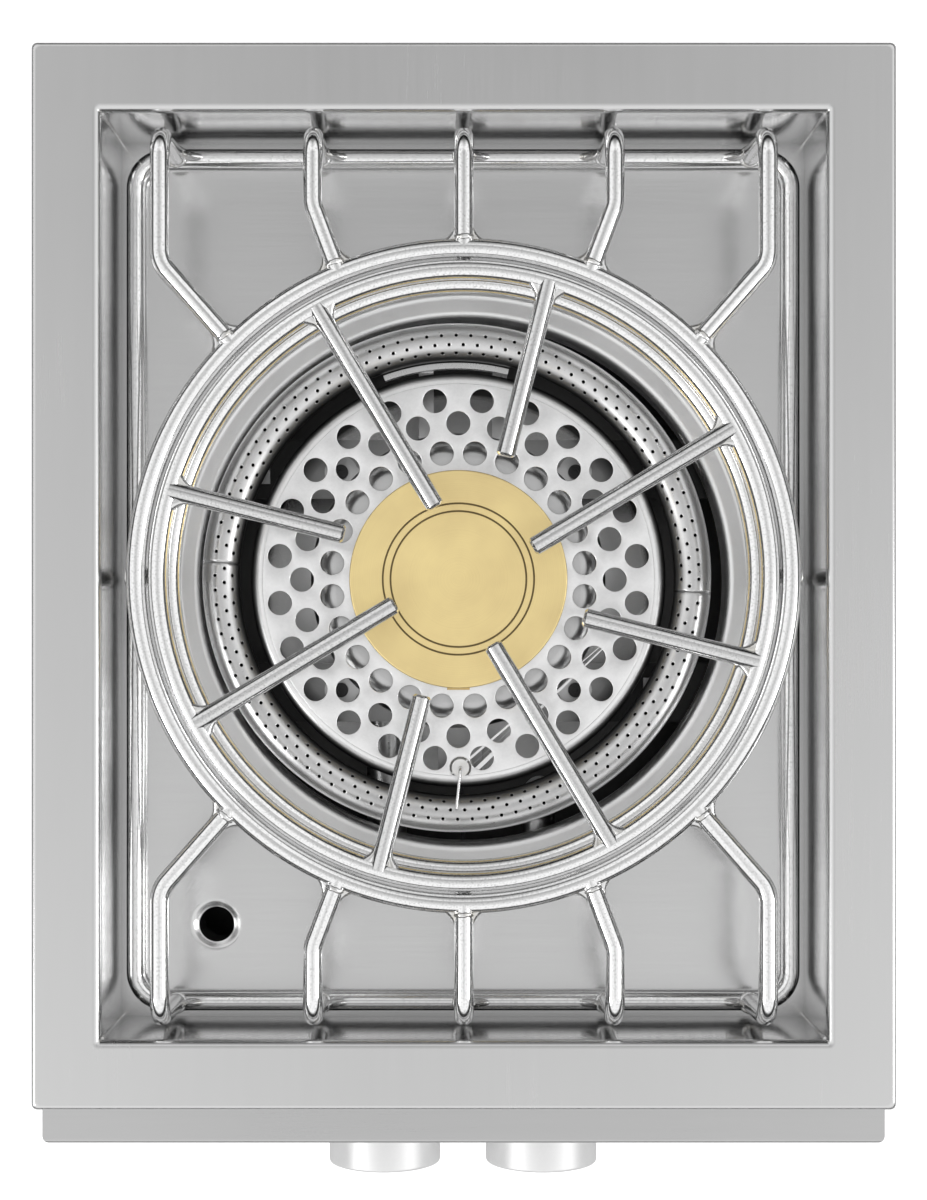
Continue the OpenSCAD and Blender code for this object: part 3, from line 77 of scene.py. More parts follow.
# Lengths and angles that differ by less are the same.
CLOSE = 1e-6

# Middle of the deck's top face in the part's frame, which is the middle of the shapes below.
DECK_TOP = np.array([0.0, 21.65, 245.0])

# Height of the tray's floor, axes of the two burners, radii of the cap's grooves, and places of the
# valve stems.
FLOOR_Z = -73.0
RING_AT = np.array([-3.4, 0.8])
BURNER_AT = np.array([-2.6, -0.2])
CAP_GROOVES = (40.0, 35.9)
VALVE_X = 42.4
STEM_Z = -77.0

# Signs of x and y and the first angle at each corner, anticlockwise from the rear right.
CORNERS = ((1, 1, 0), (-1, 1, 90), (-1, -1, 180), (1, -1, 270))

UP = (0, 0, 1)


def place(points: Array) -> Array:
    """Moves points from the deck's frame into the part's frame.

    Args:
        points: millimetres about the middle of the deck's top face.

    Returns:
        The same points in metres about the middle of the part's base.
    """
    return (np.asarray(points, float) + DECK_TOP) * MM


# Surfaces worked out with numpy


def arc(centre: Sequence[Number], radius: float, start: float, end: float, steps: int) -> Array:
    """Points on a circular arc in a plane.

    Args:
        centre: the arc's centre.
        radius: the arc's radius.
        start: first angle in degrees.
        end: last angle in degrees.
        steps: number of points, both ends included.

    Returns:
        An array of steps rows: centre + radius * (cos, sin) of evenly spread angles.
    """
    turn = np.radians(np.linspace(start, end, steps))
    return np.asarray(centre, float) + radius * np.stack([np.cos(turn), np.sin(turn)], axis=-1)


def raised(flat: Array, height: float) -> Array:
    """Points of a plane, lifted to a height."""
    return np.column_stack([flat, np.full(len(flat), height)])


def ring_path(radius: float, height: float, steps: int = 240) -> Array:
    """Evenly spread points of a level ring about the middle."""
    return raised(arc((0, 0), radius, 0, 360, steps + 1)[:-1], height)


def round_angles(steps: int) -> Array:
    """Evenly spread angles of a full turn in radians, the last one left out."""
    return np.linspace(0, 2 * math.pi, steps, endpoint=False)


def eased(profile: Array, reach: float = 0.25, long: float = 8.0) -> Array:
    """Adds a point near each end of a profile's long straight runs, so that the flats shade flat.

    Args:
        profile: corner points of a closed profile.
        reach: distance of the new points from a run's ends.
        long: a run is long from this many times the reach.

    Returns:
        The profile with two more points on each long run.
    """
    after = np.roll(profile, -1, axis=0)
    length = np.linalg.norm(after - profile, axis=1, keepdims=True)
    way = (after - profile) / np.maximum(length, CLOSE)
    rows = np.stack([profile, profile + way * reach, after - way * reach], axis=1)
    keep = np.ones(rows.shape[:2], bool)
    keep[:, 1:] = length > long * reach
    return rows[keep]


def frames(path: Array, guide: Sequence[Number], closed: bool) -> tuple[Array, Array]:
    """Side and up directions along a path.

    The tangent is the difference of a point's neighbours; side is tangent x guide, and up is
    side x tangent, both brought to length one.

    Args:
        path: the points of the path.
        guide: a direction that the path never runs along.
        closed: whether the last point joins the first.

    Returns:
        The side directions and the up directions, one row for each point.
    """
    if closed:
        tangent = np.roll(path, -1, axis=0) - np.roll(path, 1, axis=0)
    else:
        tangent = np.gradient(path, axis=0)
    tangent /= np.linalg.norm(tangent, axis=1, keepdims=True)
    side = np.cross(tangent, np.asarray(guide, float))
    side /= np.linalg.norm(side, axis=1, keepdims=True)
    return side, np.cross(side, tangent)


def rounded_path(
    corners: Sequence[Sequence[Number]], bends: Sequence[float], steps: int = 12
) -> Array:
    """Straight runs whose corners are rounded to circular arcs.

    At a corner with half angle h between its arms, a bend of radius b starts b / tan(h) from the
    corner, and its centre lies b / sin(h) from it along the arms' bisector.

    Args:
        corners: the points of the path, its ends included.
        bends: bend radius of each corner, 0 for a plain point.
        steps: points on each bend.

    Returns:
        The points of the rounded path.
    """
    points = [np.asarray(c, float) for c in corners]
    parts = []
    for index, (corner, bend) in enumerate(zip(points, bends)):
        if bend == 0 or index in (0, len(points) - 1):
            parts.append(corner[None, :])
            continue
        before = points[index - 1] - corner
        after = points[index + 1] - corner
        before, after = before / np.linalg.norm(before), after / np.linalg.norm(after)
        half = math.acos(float(np.clip(before @ after, -1, 1))) / 2
        bisector = before + after
        middle = corner + bisector / np.linalg.norm(bisector) * bend / math.sin(half)
        first = (corner + before * bend / math.tan(half) - middle) / bend
        across = before + first * float(-(before @ first))
        across = -across / np.linalg.norm(across)
        turn = np.linspace(0, math.pi - 2 * half, steps)[:, None]
        parts.append(middle + bend * (first * np.cos(turn) + across * np.sin(turn)))
    return np.vstack(parts)


def ripple(shape: tuple[int, int], seed: float, amount: float) -> Array:
    """Soft lumps over a wrapped grid.

    Four products of sines with whole numbers of waves round each way are added up.

    Args:
        shape: rows and columns of the grid.
        seed: shifts the waves.
        amount: greatest height.

    Returns:
        Heights on the grid, between -amount and amount.
    """
    u, v = round_angles(shape[0])[:, None], round_angles(shape[1])[None, :]
    waves = (
        np.sin(3 * u + seed) * np.cos(2 * v + 2 * seed)
        + np.sin(7 * u + 3 * seed) * np.cos(v - seed)
        + np.sin(5 * u - seed) * np.sin(4 * v + seed)
        + np.cos(11 * u + 5 * seed)
    )
    return amount * waves / 4


class Surface:
    """Grids, fans and filled plates that together make one piece."""

    def __init__(self) -> None:
        """Starts an empty surface."""
        self.points: list[Array] = []
        self.quads: list[Array] = []
        self.triangles: list[Array] = []
        self.count = 0

    def keep(self, points: Array) -> int:
        """Stores points.

        Args:
            points: array whose last axis is the three coordinates.

        Returns:
            The number of the first point.
        """
        start = self.count
        rows = np.asarray(points, float).reshape(-1, 3)
        self.points.append(rows)
        self.count += len(rows)
        return start

    def grid(self, points: Array, round_u: bool = False, round_v: bool = False) -> "Surface":
        """Adds a grid of points as four-sided faces.

        Args:
            points: array of rows, columns and three coordinates.
            round_u: whether the last row joins the first.
            round_v: whether the last column joins the first.

        Returns:
            The surface itself.
        """
        rows, columns = points.shape[:2]
        index = self.keep(points) + np.arange(rows * columns).reshape(rows, columns)
        if round_u:
            index = np.vstack([index, index[:1]])
        if round_v:
            index = np.hstack([index, index[:, :1]])
        faces = np.stack([index[:-1, :-1], index[1:, :-1], index[1:, 1:], index[:-1, 1:]], axis=-1)
        self.quads.append(faces.reshape(-1, 4))
        return self

    def fan(self, loop: Array) -> "Surface":
        """Closes a loop of points with triangles about its middle.

        Args:
            loop: points of the loop.

        Returns:
            The surface itself.
        """
        start = self.keep(np.vstack([loop, loop.mean(axis=0)]))
        ring = start + np.arange(len(loop))
        middle = np.full(len(loop), start + len(loop))
        self.triangles.append(np.stack([ring, np.roll(ring, -1), middle], axis=-1))
        return self

    def lathe(
        self, profile: Array, centre: Sequence[Number], steps: int, closed: bool = True
    ) -> "Surface":
        """Turns a profile about an upright axis.

        A profile point (r, z) at angle a goes to (r cos a, r sin a, z) about the centre.

        Args:
            profile: rows of radius and height.
            centre: the axis, seen from above.
            steps: faces round the axis.
            closed: whether the profile's last point joins its first.

        Returns:
            The surface itself.
        """
        turn = round_angles(steps)[:, None]
        x, y = centre[0] + profile[:, 0] * np.cos(turn), centre[1] + profile[:, 0] * np.sin(turn)
        points = np.stack([x, y, np.broadcast_to(profile[:, 1], x.shape)], axis=-1)
        return self.grid(points, round_u=True, round_v=closed)

    def rod(
        self,
        path: Array,
        radius: Union[float, Array],
        guide: Sequence[Number],
        closed: bool = False,
        sides: int = 32,
        lumps: Optional[Array] = None,
    ) -> "Surface":
        """Carries a round section along a path.

        The point at angle a is path + radius * (side cos a + up sin a).

        Args:
            path: the points of the rod's middle line.
            radius: one radius, or one for each point of the path.
            guide: a direction that the path never runs along.
            closed: whether the path's last point joins its first.
            sides: points round the section.
            lumps: heights added to the radius on the grid.

        Returns:
            The surface itself.
        """
        side, up = frames(path, guide, closed)
        turn = round_angles(sides)[None, :, None]
        size = np.broadcast_to(np.asarray(radius, float), (len(path),))[:, None, None]
        if lumps is not None:
            size = size + lumps[:, :, None]
        around = side[:, None, :] * np.cos(turn) + up[:, None, :] * np.sin(turn)
        points = path[:, None, :] + size * around
        self.grid(points, round_u=closed, round_v=True)
        if not closed:
            self.fan(points[0]).fan(points[-1])
        return self

    def ring(self, size: tuple[float, float], radius: float) -> "Surface":
        """Adds a level ring of round rod, its size given as radius and height."""
        return self.rod(ring_path(*size), radius, UP, closed=True)

    def plate(
        self,
        rims: Sequence["Rim"],
        top: float,
        thick: float,
        ease: float = 0.0,
        ease_steps: int = 4,
    ) -> "Surface":
        """Adds a flat plate with holes, its edges eased to a small round.

        The first rim is the outline and the others are holes. The faces between them are the
        triangles of their flat outline, the same above and below; each rim's wall is a grid that
        follows a quarter circle of radius ease and then drops to the underside.

        Args:
            rims: outline and holes.
            top: height of the upper face.
            thick: thickness.
            ease: radius of the rounded upper edges.
            ease_steps: points on that round.

        Returns:
            The surface itself.
        """
        loops = [rim.loop(-ease if k == 0 else ease) for k, rim in enumerate(rims)]
        ends = np.cumsum([0] + [len(loop) for loop in loops])
        flat = np.vstack(loops)
        rings = [list(range(a, b)) for a, b in zip(ends[:-1], ends[1:])]
        corners = [Vector(p) for p in flat.tolist()]
        where, _, faces, sources, _, owners = delaunay_2d_cdt(corners, [], rings, 1, CLOSE, True)
        solid = [k for k, owner in enumerate(owners) if list(owner) == [0]]
        faces = np.array(faces, int)[solid]
        under = np.array([source[0] if len(source) else -1 for source in sources], int)
        bottom = np.vstack([rim.loop(0.0) for rim in rims])[under]
        upper = raised(np.array([list(p) for p in where], float), top)
        self.triangles.append(faces + self.keep(upper))
        self.triangles.append(faces[:, ::-1] + self.keep(raised(bottom, top - thick)))
        steps = np.linspace(0, math.pi / 2, ease_steps) if ease > 0 else np.zeros(1)
        for k, rim in enumerate(rims):
            sign = -1 if k == 0 else 1
            rows = [
                (sign * ease * (1 - math.sin(s)), top - ease * (1 - math.cos(s))) for s in steps
            ]
            rows.append((0.0, top - thick))
            self.grid(np.stack([raised(rim.loop(grow), z) for grow, z in rows]), round_v=True)
        return self

    def piece(
        self,
        name: str,
        finish: Material,
        body: str,
        replaces: Sequence[str] = (),
        slot: Optional[str] = None,
        crease: float = 38.0,
        merge: float = 0.002,
        wall: float = 0.0,
        inside: Optional[Material] = None,
    ) -> bpy.types.Object:
        """Makes the surface an object that rides on a body.

        Args:
            name: the piece's name.
            finish: its material.
            body: the body that it moves with.
            replaces: solids that it stands for.
            slot: material slot of the record; not used.
            crease: faces that meet at more than this angle keep a sharp edge.
            merge: points nearer than this become one.
            wall: thickness given inwards to an open sheet, 0 for a closed shape.
            inside: material of the inner side and of the cut edges of such a sheet.

        Returns:
            The new object.
        """
        points = place(np.vstack(self.points))
        quads = np.vstack(self.quads) if self.quads else np.zeros((0, 4), int)
        triangles = np.vstack(self.triangles) if self.triangles else np.zeros((0, 3), int)
        mesh = bpy.data.meshes.new(name)
        mesh.vertices.add(len(points))
        mesh.vertices.foreach_set("co", points.astype(np.float32).ravel())
        loops = np.concatenate([quads.ravel(), triangles.ravel()])
        sizes = np.concatenate([np.full(len(quads), 4), np.full(len(triangles), 3)])
        mesh.loops.add(len(loops))
        mesh.loops.foreach_set("vertex_index", loops.astype(np.int32))
        mesh.polygons.add(len(sizes))
        mesh.polygons.foreach_set("loop_start", (np.cumsum(sizes) - sizes).astype(np.int32))
        mesh.update(calc_edges=True)
        mesh.validate()
        work = bmesh.new()
        work.from_mesh(mesh)
        bmesh.ops.remove_doubles(work, verts=work.verts, dist=merge * MM)
        bmesh.ops.recalc_face_normals(work, faces=work.faces)
        work.to_mesh(mesh)
        work.free()
        mesh.shade_smooth()
        mesh.set_sharp_from_angle(angle=math.radians(crease))
        mesh.materials.append(finish)
        made = bpy.data.objects.new(name, mesh)
        bpy.context.scene.collection.objects.link(made)
        if wall > 0:
            shell = made.modifiers.new("wall", "SOLIDIFY")
            shell.thickness = wall * MM
            shell.offset = -1
            if inside is not None:
                mesh.materials.append(inside)
                shell.material_offset = 1
                shell.material_offset_rim = 1
        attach(made, body)
        if replaces:
            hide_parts(*replaces)
        LOG.info("%s: %d faces", name, len(mesh.polygons))
        return made


@dataclass(frozen=True)
class Rim:
    """Outline of a plate or of a hole in it: a rounded rectangle or a circle.

    Corner centres lie at the half sizes less the radius; a circle has no half sizes of its own.
    """

    at: tuple[float, float]
    radius: float
    half: tuple[float, float] = (0.0, 0.0)
    steps: int = 12

    def loop(self, grow: float) -> Array:
        """Points round the rim, grown outwards.

        Args:
            grow: distance by which the outline is moved outwards.

        Returns:
            The outline's points, anticlockwise.
        """
        reach = np.maximum(np.array(self.half) - self.radius, 0)
        quarters = [
            reach * (sx, sy) + arc((0, 0), self.radius + grow, start, start + 90, self.steps)
            for sx, sy, start in CORNERS
        ]
        if not reach.any():
            quarters = [quarter[:-1] for quarter in quarters]
        return np.vstack(quarters) + np.array(self.at)


# Shader graphs


class Lumps(Enum):
    """Detail and roughness of a noise."""

    SLOW = (1.0, 0.55)
    SOFT = (2.0, 0.55)
    CLOUD = (2.0, 0.5)
    EVEN = (3.0, 0.55)
    CRISP = (3.0, 0.6)
    FINE = (4.0, 0.6)


class Link:
    """A socket whose values can be reckoned with."""

    def __init__(self, graph: "Graph", socket: bpy.types.NodeSocket) -> None:
        """Wraps a socket of a graph."""
        self.graph = graph
        self.socket = socket

    def _sum(self, operation: str, *values: Any) -> "Link":
        """Adds a Math node for one or two values."""
        return self.graph.node("ShaderNodeMath", {"operation": operation}, dict(enumerate(values)))

    def __add__(self, other: Any) -> "Link":
        """Sum."""
        return self._sum("ADD", self, other)

    def __radd__(self, other: Any) -> "Link":
        """Sum with a number first."""
        return self._sum("ADD", other, self)

    def __sub__(self, other: Any) -> "Link":
        """Difference."""
        return self._sum("SUBTRACT", self, other)

    def __rsub__(self, other: Any) -> "Link":
        """Difference from a number."""
        return self._sum("SUBTRACT", other, self)

    def __mul__(self, other: Any) -> "Link":
        """Product."""
        return self._sum("MULTIPLY", self, other)

    def __rmul__(self, other: Any) -> "Link":
        """Product with a number first."""
        return self._sum("MULTIPLY", other, self)

    def __truediv__(self, other: Any) -> "Link":
        """Quotient."""
        return self._sum("DIVIDE", self, other)

    def __pow__(self, other: Any) -> "Link":
        """Power."""
        return self._sum("POWER", self, other)

    def __abs__(self) -> "Link":
        """Size without the sign."""
        return self._sum("ABSOLUTE", self)

    def swing(self, amount: float) -> "Link":
        """A noise about zero instead of about a half, times an amount."""
        return (self - 0.5) * amount


class Graph:
    """Nodes of one material or of the world."""

    def __init__(self, tree: bpy.types.NodeTree) -> None:
        """Empties the tree and starts again."""
        self.tree = tree
        self.tree.nodes.clear()

    def node(
        self,
        kind: str,
        settings: Optional[dict[str, Any]] = None,
        sockets: Optional[dict[Union[int, str], Any]] = None,
        out: Union[int, str] = 0,
    ) -> Link:
        """Adds a node.

        Args:
            kind: the node's type.
            settings: its properties, set before its sockets.
            sockets: values or links for its inputs.
            out: the output that is wanted.

        Returns:
            A link to that output.
        """
        made = self.tree.nodes.new(kind)
        for key, value in (settings or {}).items():
            setattr(made, key, value)
        for key, value in (sockets or {}).items():
            if isinstance(value, Link):
                self.tree.links.new(value.socket, made.inputs[key])
            else:
                made.inputs[key].default_value = value
        return Link(self, made.outputs[out])

    def vector(self, operation: str, first: Any, second: Any) -> Link:
        """Adds a Vector Math node."""
        return self.node("ShaderNodeVectorMath", {"operation": operation}, {0: first, 1: second})

    def coordinates(
        self, scale: Sequence[float] = (1, 1, 1), at: Sequence[float] = (0, 0, 0)
    ) -> Link:
        """Object coordinates about a point of the deck's frame, stretched by a scale.

        Args:
            scale: factors along the axes, in repeats a metre.
            at: the point, in millimetres.

        Returns:
            A vector link.
        """
        where = self.node("ShaderNodeTexCoord", out="Object")
        centred = self.vector("SUBTRACT", where, tuple(place(np.array(at, float))))
        return self.vector("MULTIPLY", centred, tuple(scale))

    def parts(self, vector: Link) -> tuple[Link, Link, Link]:
        """The three parts of a vector.

        Args:
            vector: a vector link.

        Returns:
            Links to its x, y and z.
        """
        x = self.node("ShaderNodeSeparateXYZ", None, {0: vector})
        node = x.socket.node
        return x, Link(self, node.outputs[1]), Link(self, node.outputs[2])

    def from_axis(self, at: Sequence[float]) -> Link:
        """Distance in metres from the upright axis through a point of the deck's frame."""
        x, y, _ = self.parts(self.coordinates(at=(*at, 0.0)))
        return (x * x + y * y) ** 0.5

    def noise(self, where: Link, lumps: Lumps) -> Link:
        """Smooth noise of scale one over stretched coordinates.

        Args:
            where: the coordinates.
            lumps: detail and roughness of the noise.

        Returns:
            A link to the noise, from 0 to 1.
        """
        detail, rough = lumps.value
        sockets = {"Vector": where, "Scale": 1.0, "Detail": detail, "Roughness": rough}
        return self.node("ShaderNodeTexNoise", None, sockets)

    def grain(self, scale: Union[float, Sequence[float]], lumps: Lumps = Lumps.EVEN) -> Link:
        """Noise in lumps a metre, given as one number or as one along each axis."""
        spread = (scale,) * 3 if isinstance(scale, float) else tuple(scale)
        return self.noise(self.coordinates(spread), lumps)

    def blend(self, share: Any, first: Any, second: Any) -> Link:
        """Mix of two colours."""
        # A Mix node keeps its two colours in inputs 6 and 7, and their mix in output 2.
        settings = {"data_type": "RGBA", "clamp_factor": True}
        return self.node("ShaderNodeMix", settings, {0: share, 6: first, 7: second}, 2)

    def between(self, value: Link, low: float, high: float) -> Link:
        """Value stretched so that low gives 0 and high gives 1, and held there."""
        sockets = {"From Min": low, "From Max": high, "To Min": 0.0, "To Max": 1.0}
        return self.node("ShaderNodeMapRange", {"clamp": True}, {"Value": value, **sockets})

    def bump(self, height: Link, depth: float, strength: float) -> Link:
        """Normal of a height between 0 and 1 that stands for a depth in metres."""
        sockets = {"Strength": strength, "Distance": depth, "Height": height}
        return self.node("ShaderNodeBump", None, sockets)

    def surface(self, **sockets: Any) -> None:
        """Ends the graph in a Principled shader with these sockets; underlines stand for spaces."""
        values = {key.replace("_", " "): value for key, value in sockets.items()}
        self.output(self.node("ShaderNodeBsdfPrincipled", None, values, "BSDF"))

    def output(self, shader: Link, kind: str = "ShaderNodeOutputMaterial") -> None:
        """Joins a shader to the output of the material or of the world."""
        made = self.tree.nodes.new(kind)
        self.tree.links.new(shader.socket, made.inputs["Surface"])


def painted(name: str) -> tuple[Material, Graph]:
    """A new material and its empty graph.

    Args:
        name: name of the material.

    Returns:
        The material and its graph.
    """
    material = bpy.data.materials.new(name)
    material.use_nodes = True
    return material, Graph(material.node_tree)


def grey(level: float, warmth: float = 0.0) -> Colour:
    """A grey of a linear level, a little warmer or cooler."""
    return (level * (1 + warmth), level, level * (1 - warmth), 1.0)


def tinted(colour: Sequence[float], level: float = 1.0) -> Colour:
    """A colour made lighter or darker, each part at most 1."""
    red, green, blue = (min(1.0, part * level) for part in colour)
    return (red, green, blue, 1.0)


class Grain(Enum):
    """Way in which a sheet was brushed."""

    LEFT_RIGHT = (30.0, 1500.0, 1500.0)
    FRONT_BACK = (1500.0, 30.0, 1500.0)
    UP_DOWN = (1500.0, 1500.0, 30.0)
    NONE = (700.0, 700.0, 700.0)


@dataclass(frozen=True)
class SheetSteel:
    """Stainless sheet with a brushed or satin face.

    Where wall_below is given, in metres from the deck's top, what lies below it is a wall, which is
    smoother, with painted light and shade: its colour is blended towards white higher up and
    towards a dark grey of painted shade at its foot.
    """

    name: str
    tone: float = 0.66
    roughness: float = 0.28
    grain: Grain = Grain.NONE
    streak: float = 0.05
    depth: float = 0.000012
    relief: float = 0.5
    metal: float = 1.0
    broad: float = 0.16
    clouds: float = 7.0
    shares: tuple[float, float, float] = (0.5, 0.3, 0.2)
    span: tuple[float, float] = (0.3, 0.7)
    rough_streak: float = 0.16
    rough_cloud: float = 0.08
    wall_below: Optional[float] = None
    wall_foot: float = -0.073
    wall_fade: float = 0.003
    wall_shade: float = 0.010
    wall_share: float = 0.75
    wall_polish: float = 0.10
    foot_shade_tone: float = 0.25

    def build(self) -> Material:
        """Fine streaks along the grain in colour, roughness and height, under slow clouds.

        Returns:
            The material.
        """
        material, g = painted(self.name)
        fine = g.grain(self.grain.value, Lumps.FINE)
        broad = g.grain([scale * self.broad for scale in self.grain.value], Lumps.SOFT)
        cloud = g.grain(self.clouds, Lumps.CLOUD)
        mark = fine * self.shares[0] + broad * self.shares[1] + cloud * self.shares[2]
        dark, light = grey(self.tone * (1 - self.streak)), grey(self.tone * (1 + self.streak))
        colour = g.blend(g.between(mark, *self.span), dark, light)
        rough = mark.swing(self.rough_streak) + cloud.swing(self.rough_cloud) + self.roughness
        # Painted light and shade on a wall: towards white higher up, towards a dark grey at its
        # foot.
        if self.wall_below is not None:
            height = g.parts(g.coordinates())[2]
            wall = 1.0 - g.between(height, self.wall_below - self.wall_fade, self.wall_below)
            rise = g.between(height, self.wall_foot, self.wall_below - self.wall_shade)
            shaded = g.blend(rise, grey(self.tone * self.foot_shade_tone), grey(1.0))
            colour = g.blend(wall * self.wall_share, colour, shaded)
            rough = rough - wall * self.wall_polish
        normal = g.bump(fine, self.depth, self.relief)
        g.surface(Base_Color=colour, Metallic=self.metal, Roughness=rough, Normal=normal)
        return material


@dataclass(frozen=True)
class RadialShadeSteel:
    """Satin steel of a round burner part, with a painted shade that darkens it between two radii.
    """

    name: str
    tone: float
    roughness: float
    at: Sequence[float]
    unshaded_r: float
    shade_r: float
    dark: float = 0.07
    fleck: float = 0.03
    span: tuple[float, float] = (0.3, 0.7)
    patches: float = 90.0
    ragged: float = 1.5
    rough_fleck: float = 0.14
    rough_dark: float = 0.12
    depth: float = 0.000005
    relief: float = 0.5

    def build(self) -> Material:
        """Fine flecks on steel, which fades into a painted shade along a ragged ring.

        Returns:
            The material.
        """
        material, g = painted(self.name)
        fine = g.grain(Grain.NONE.value, Lumps.FINE)
        radius = g.from_axis(self.at) + g.grain(self.patches).swing(self.ragged * MM)
        # Painted shade: the colour falls to the dark grey between the two radii.
        unshaded = g.between(radius, self.shade_r * MM, self.unshaded_r * MM)
        low, high = grey(self.tone * (1 - self.fleck)), grey(self.tone * (1 + self.fleck))
        steel = g.blend(g.between(fine, *self.span), low, high)
        rough = fine.swing(self.rough_fleck) + (1.0 - unshaded) * self.rough_dark
        g.surface(
            Base_Color=g.blend(unshaded, grey(self.dark), steel),
            Metallic=1.0,
            Roughness=rough + self.roughness,
            Normal=g.bump(fine, self.depth, self.relief),
        )
        return material


@dataclass(frozen=True)
class RodSteel:
    """Polished round bar, with the grain that its grinding left."""

    name: str
    tone: float = 0.88
    roughness: float = 0.10
    waves: float = 90.0
    specks: float = 900.0
    pit_span: tuple[float, float] = (0.50, 0.72)
    pit_tone: float = 0.78
    rough_pit: float = 0.14
    rough_wave: float = 0.06
    shares: tuple[float, float] = (0.7, 0.3)
    depth: float = 0.00010
    relief: float = 0.6

    def build(self) -> Material:
        """Small shallow pits and soft waves in a bright polish.

        Returns:
            The material.
        """
        material, g = painted(self.name)
        wave = g.grain(self.waves, Lumps.SOFT)
        speck = g.grain(self.specks, Lumps.CRISP)
        pit = g.between(speck, *self.pit_span)
        height = wave * self.shares[0] + speck * self.shares[1]
        g.surface(
            Base_Color=g.blend(pit, grey(self.tone), grey(self.tone * self.pit_tone)),
            Metallic=1.0,
            Roughness=pit * self.rough_pit + wave.swing(self.rough_wave) + self.roughness,
            Normal=g.bump(height, self.depth, self.relief),
        )
        return material


@dataclass(frozen=True)
class WeldSteel:
    """Weld metal, rippled and dulled here and there by the heat."""

    name: str
    tone: float = 0.74
    tint: tuple[float, float, float] = (0.60, 0.585, 0.55)
    span: tuple[float, float] = (0.45, 0.75)
    ripples: float = 420.0
    patches: float = 120.0
    roughness: float = 0.14
    rough_ripple: float = 0.2
    depth: float = 0.0002
    relief: float = 0.7

    def build(self) -> Material:
        """Fine lumps, and a faint warm tint that comes and goes.

        Returns:
            The material.
        """
        material, g = painted(self.name)
        lump = g.grain(self.ripples, Lumps.CRISP)
        heat = g.between(g.grain(self.patches, Lumps.SLOW), *self.span)
        g.surface(
            Base_Color=g.blend(heat, grey(self.tone), tinted(self.tint)),
            Metallic=1.0,
            Roughness=lump * self.rough_ripple + self.roughness,
            Normal=g.bump(lump, self.depth, self.relief),
        )
        return material


@dataclass(frozen=True)
class Brass:
    """Machined brass; a turned face carries rings about its axis, and may have grooves."""

    name: str
    colour: tuple[float, float, float]
    roughness: float
    turned: bool = False
    at: Sequence[float] = (0.0, 0.0)
    grooves: tuple[float, ...] = ()
    groove_span: tuple[float, float] = (0.36, 0.54)
    recess_shade: tuple[float, float, float] = (0.06, 0.04, 0.02)
    recess_shade_share: float = 0.85
    rings: float = 2600.0
    marks: float = 900.0
    stains: float = 35.0
    span: tuple[float, float] = (0.35, 0.65)
    dark: float = 0.88
    light: float = 1.06
    rough_mark: float = 0.18
    rough_stain: float = 0.1
    depth: float = 0.00001
    relief: float = 0.5

    def build(self) -> Material:
        """Tool marks, along the radius on a turned face, and painted shade in any grooves.

        Returns:
            The material.
        """
        material, g = painted(self.name)
        if self.turned:
            radius = g.from_axis(self.at)
            line = g.node("ShaderNodeCombineXYZ", None, {0: radius * self.rings})
            mark = g.noise(line, Lumps.CRISP)
        else:
            mark = g.grain(self.marks)
        stain = g.grain(self.stains)
        tone = g.between(mark * 0.5 + stain * 0.5, *self.span)
        colour = g.blend(tone, tinted(self.colour, self.dark), tinted(self.colour, self.light))
        # Painted shade: a dark brown in each groove.
        low, high = self.groove_span
        for groove in self.grooves:
            recess_shade = 1.0 - g.between(abs(radius - groove * MM), low * MM, high * MM)
            colour = g.blend(recess_shade * self.recess_shade_share, colour, tinted(self.recess_shade))
        g.surface(
            Base_Color=colour,
            Metallic=1.0,
            Roughness=mark.swing(self.rough_mark) + stain.swing(self.rough_stain) + self.roughness,
            Normal=g.bump(mark, self.depth, self.relief),
        )
        return material


@dataclass(frozen=True)
class ZincPlate:
    """Zinc-plated steel with its faint spangle."""

    name: str
    tone: float = 0.55
    roughness: float = 0.25
    cells: float = 260.0
    hazes: float = 80.0
    span: tuple[float, float] = (0.2, 0.7)
    dark: float = 0.85
    light: float = 1.1
    warmth: float = -0.02
    rough_haze: float = 0.25
    depth: float = 0.00003
    relief: float = 0.4

    def build(self) -> Material:
        """Cells of slightly different greys under a thin haze.

        Returns:
            The material.
        """
        material, g = painted(self.name)
        where = g.coordinates((self.cells,) * 3)
        cell = g.node("ShaderNodeTexVoronoi", None, {"Vector": where, "Scale": 1.0}, "Distance")
        haze = g.grain(self.hazes)
        dark, light = (grey(self.tone * share, self.warmth) for share in (self.dark, self.light))
        g.surface(
            Base_Color=g.blend(g.between(cell * 0.5 + haze * 0.5, *self.span), dark, light),
            Metallic=1.0,
            Roughness=haze * self.rough_haze + self.roughness,
            Normal=g.bump(haze, self.depth, self.relief),
        )
        return material


@dataclass(frozen=True)
class GlazedCeramic:
    """White glazed porcelain."""

    name: str
    dark: tuple[float, float, float] = (0.86, 0.85, 0.82)
    light: tuple[float, float, float] = (0.93, 0.93, 0.92)
    roughness: float = 0.22
    clouds: float = 200.0
    span: tuple[float, float] = (0.3, 0.7)
    rough_cloud: float = 0.12
    glaze: float = 0.6
    glaze_roughness: float = 0.08
    depth: float = 0.00005
    relief: float = 0.3

    def build(self) -> Material:
        """A clear coat over a body with faint warm clouds.

        Returns:
            The material.
        """
        material, g = painted(self.name)
        cloud = g.grain(self.clouds)
        g.surface(
            Base_Color=g.blend(g.between(cloud, *self.span), tinted(self.dark), tinted(self.light)),
            Roughness=cloud * self.rough_cloud + self.roughness,
            Coat_Weight=self.glaze,
            Coat_Roughness=self.glaze_roughness,
            Normal=g.bump(cloud, self.depth, self.relief),
        )
        return material


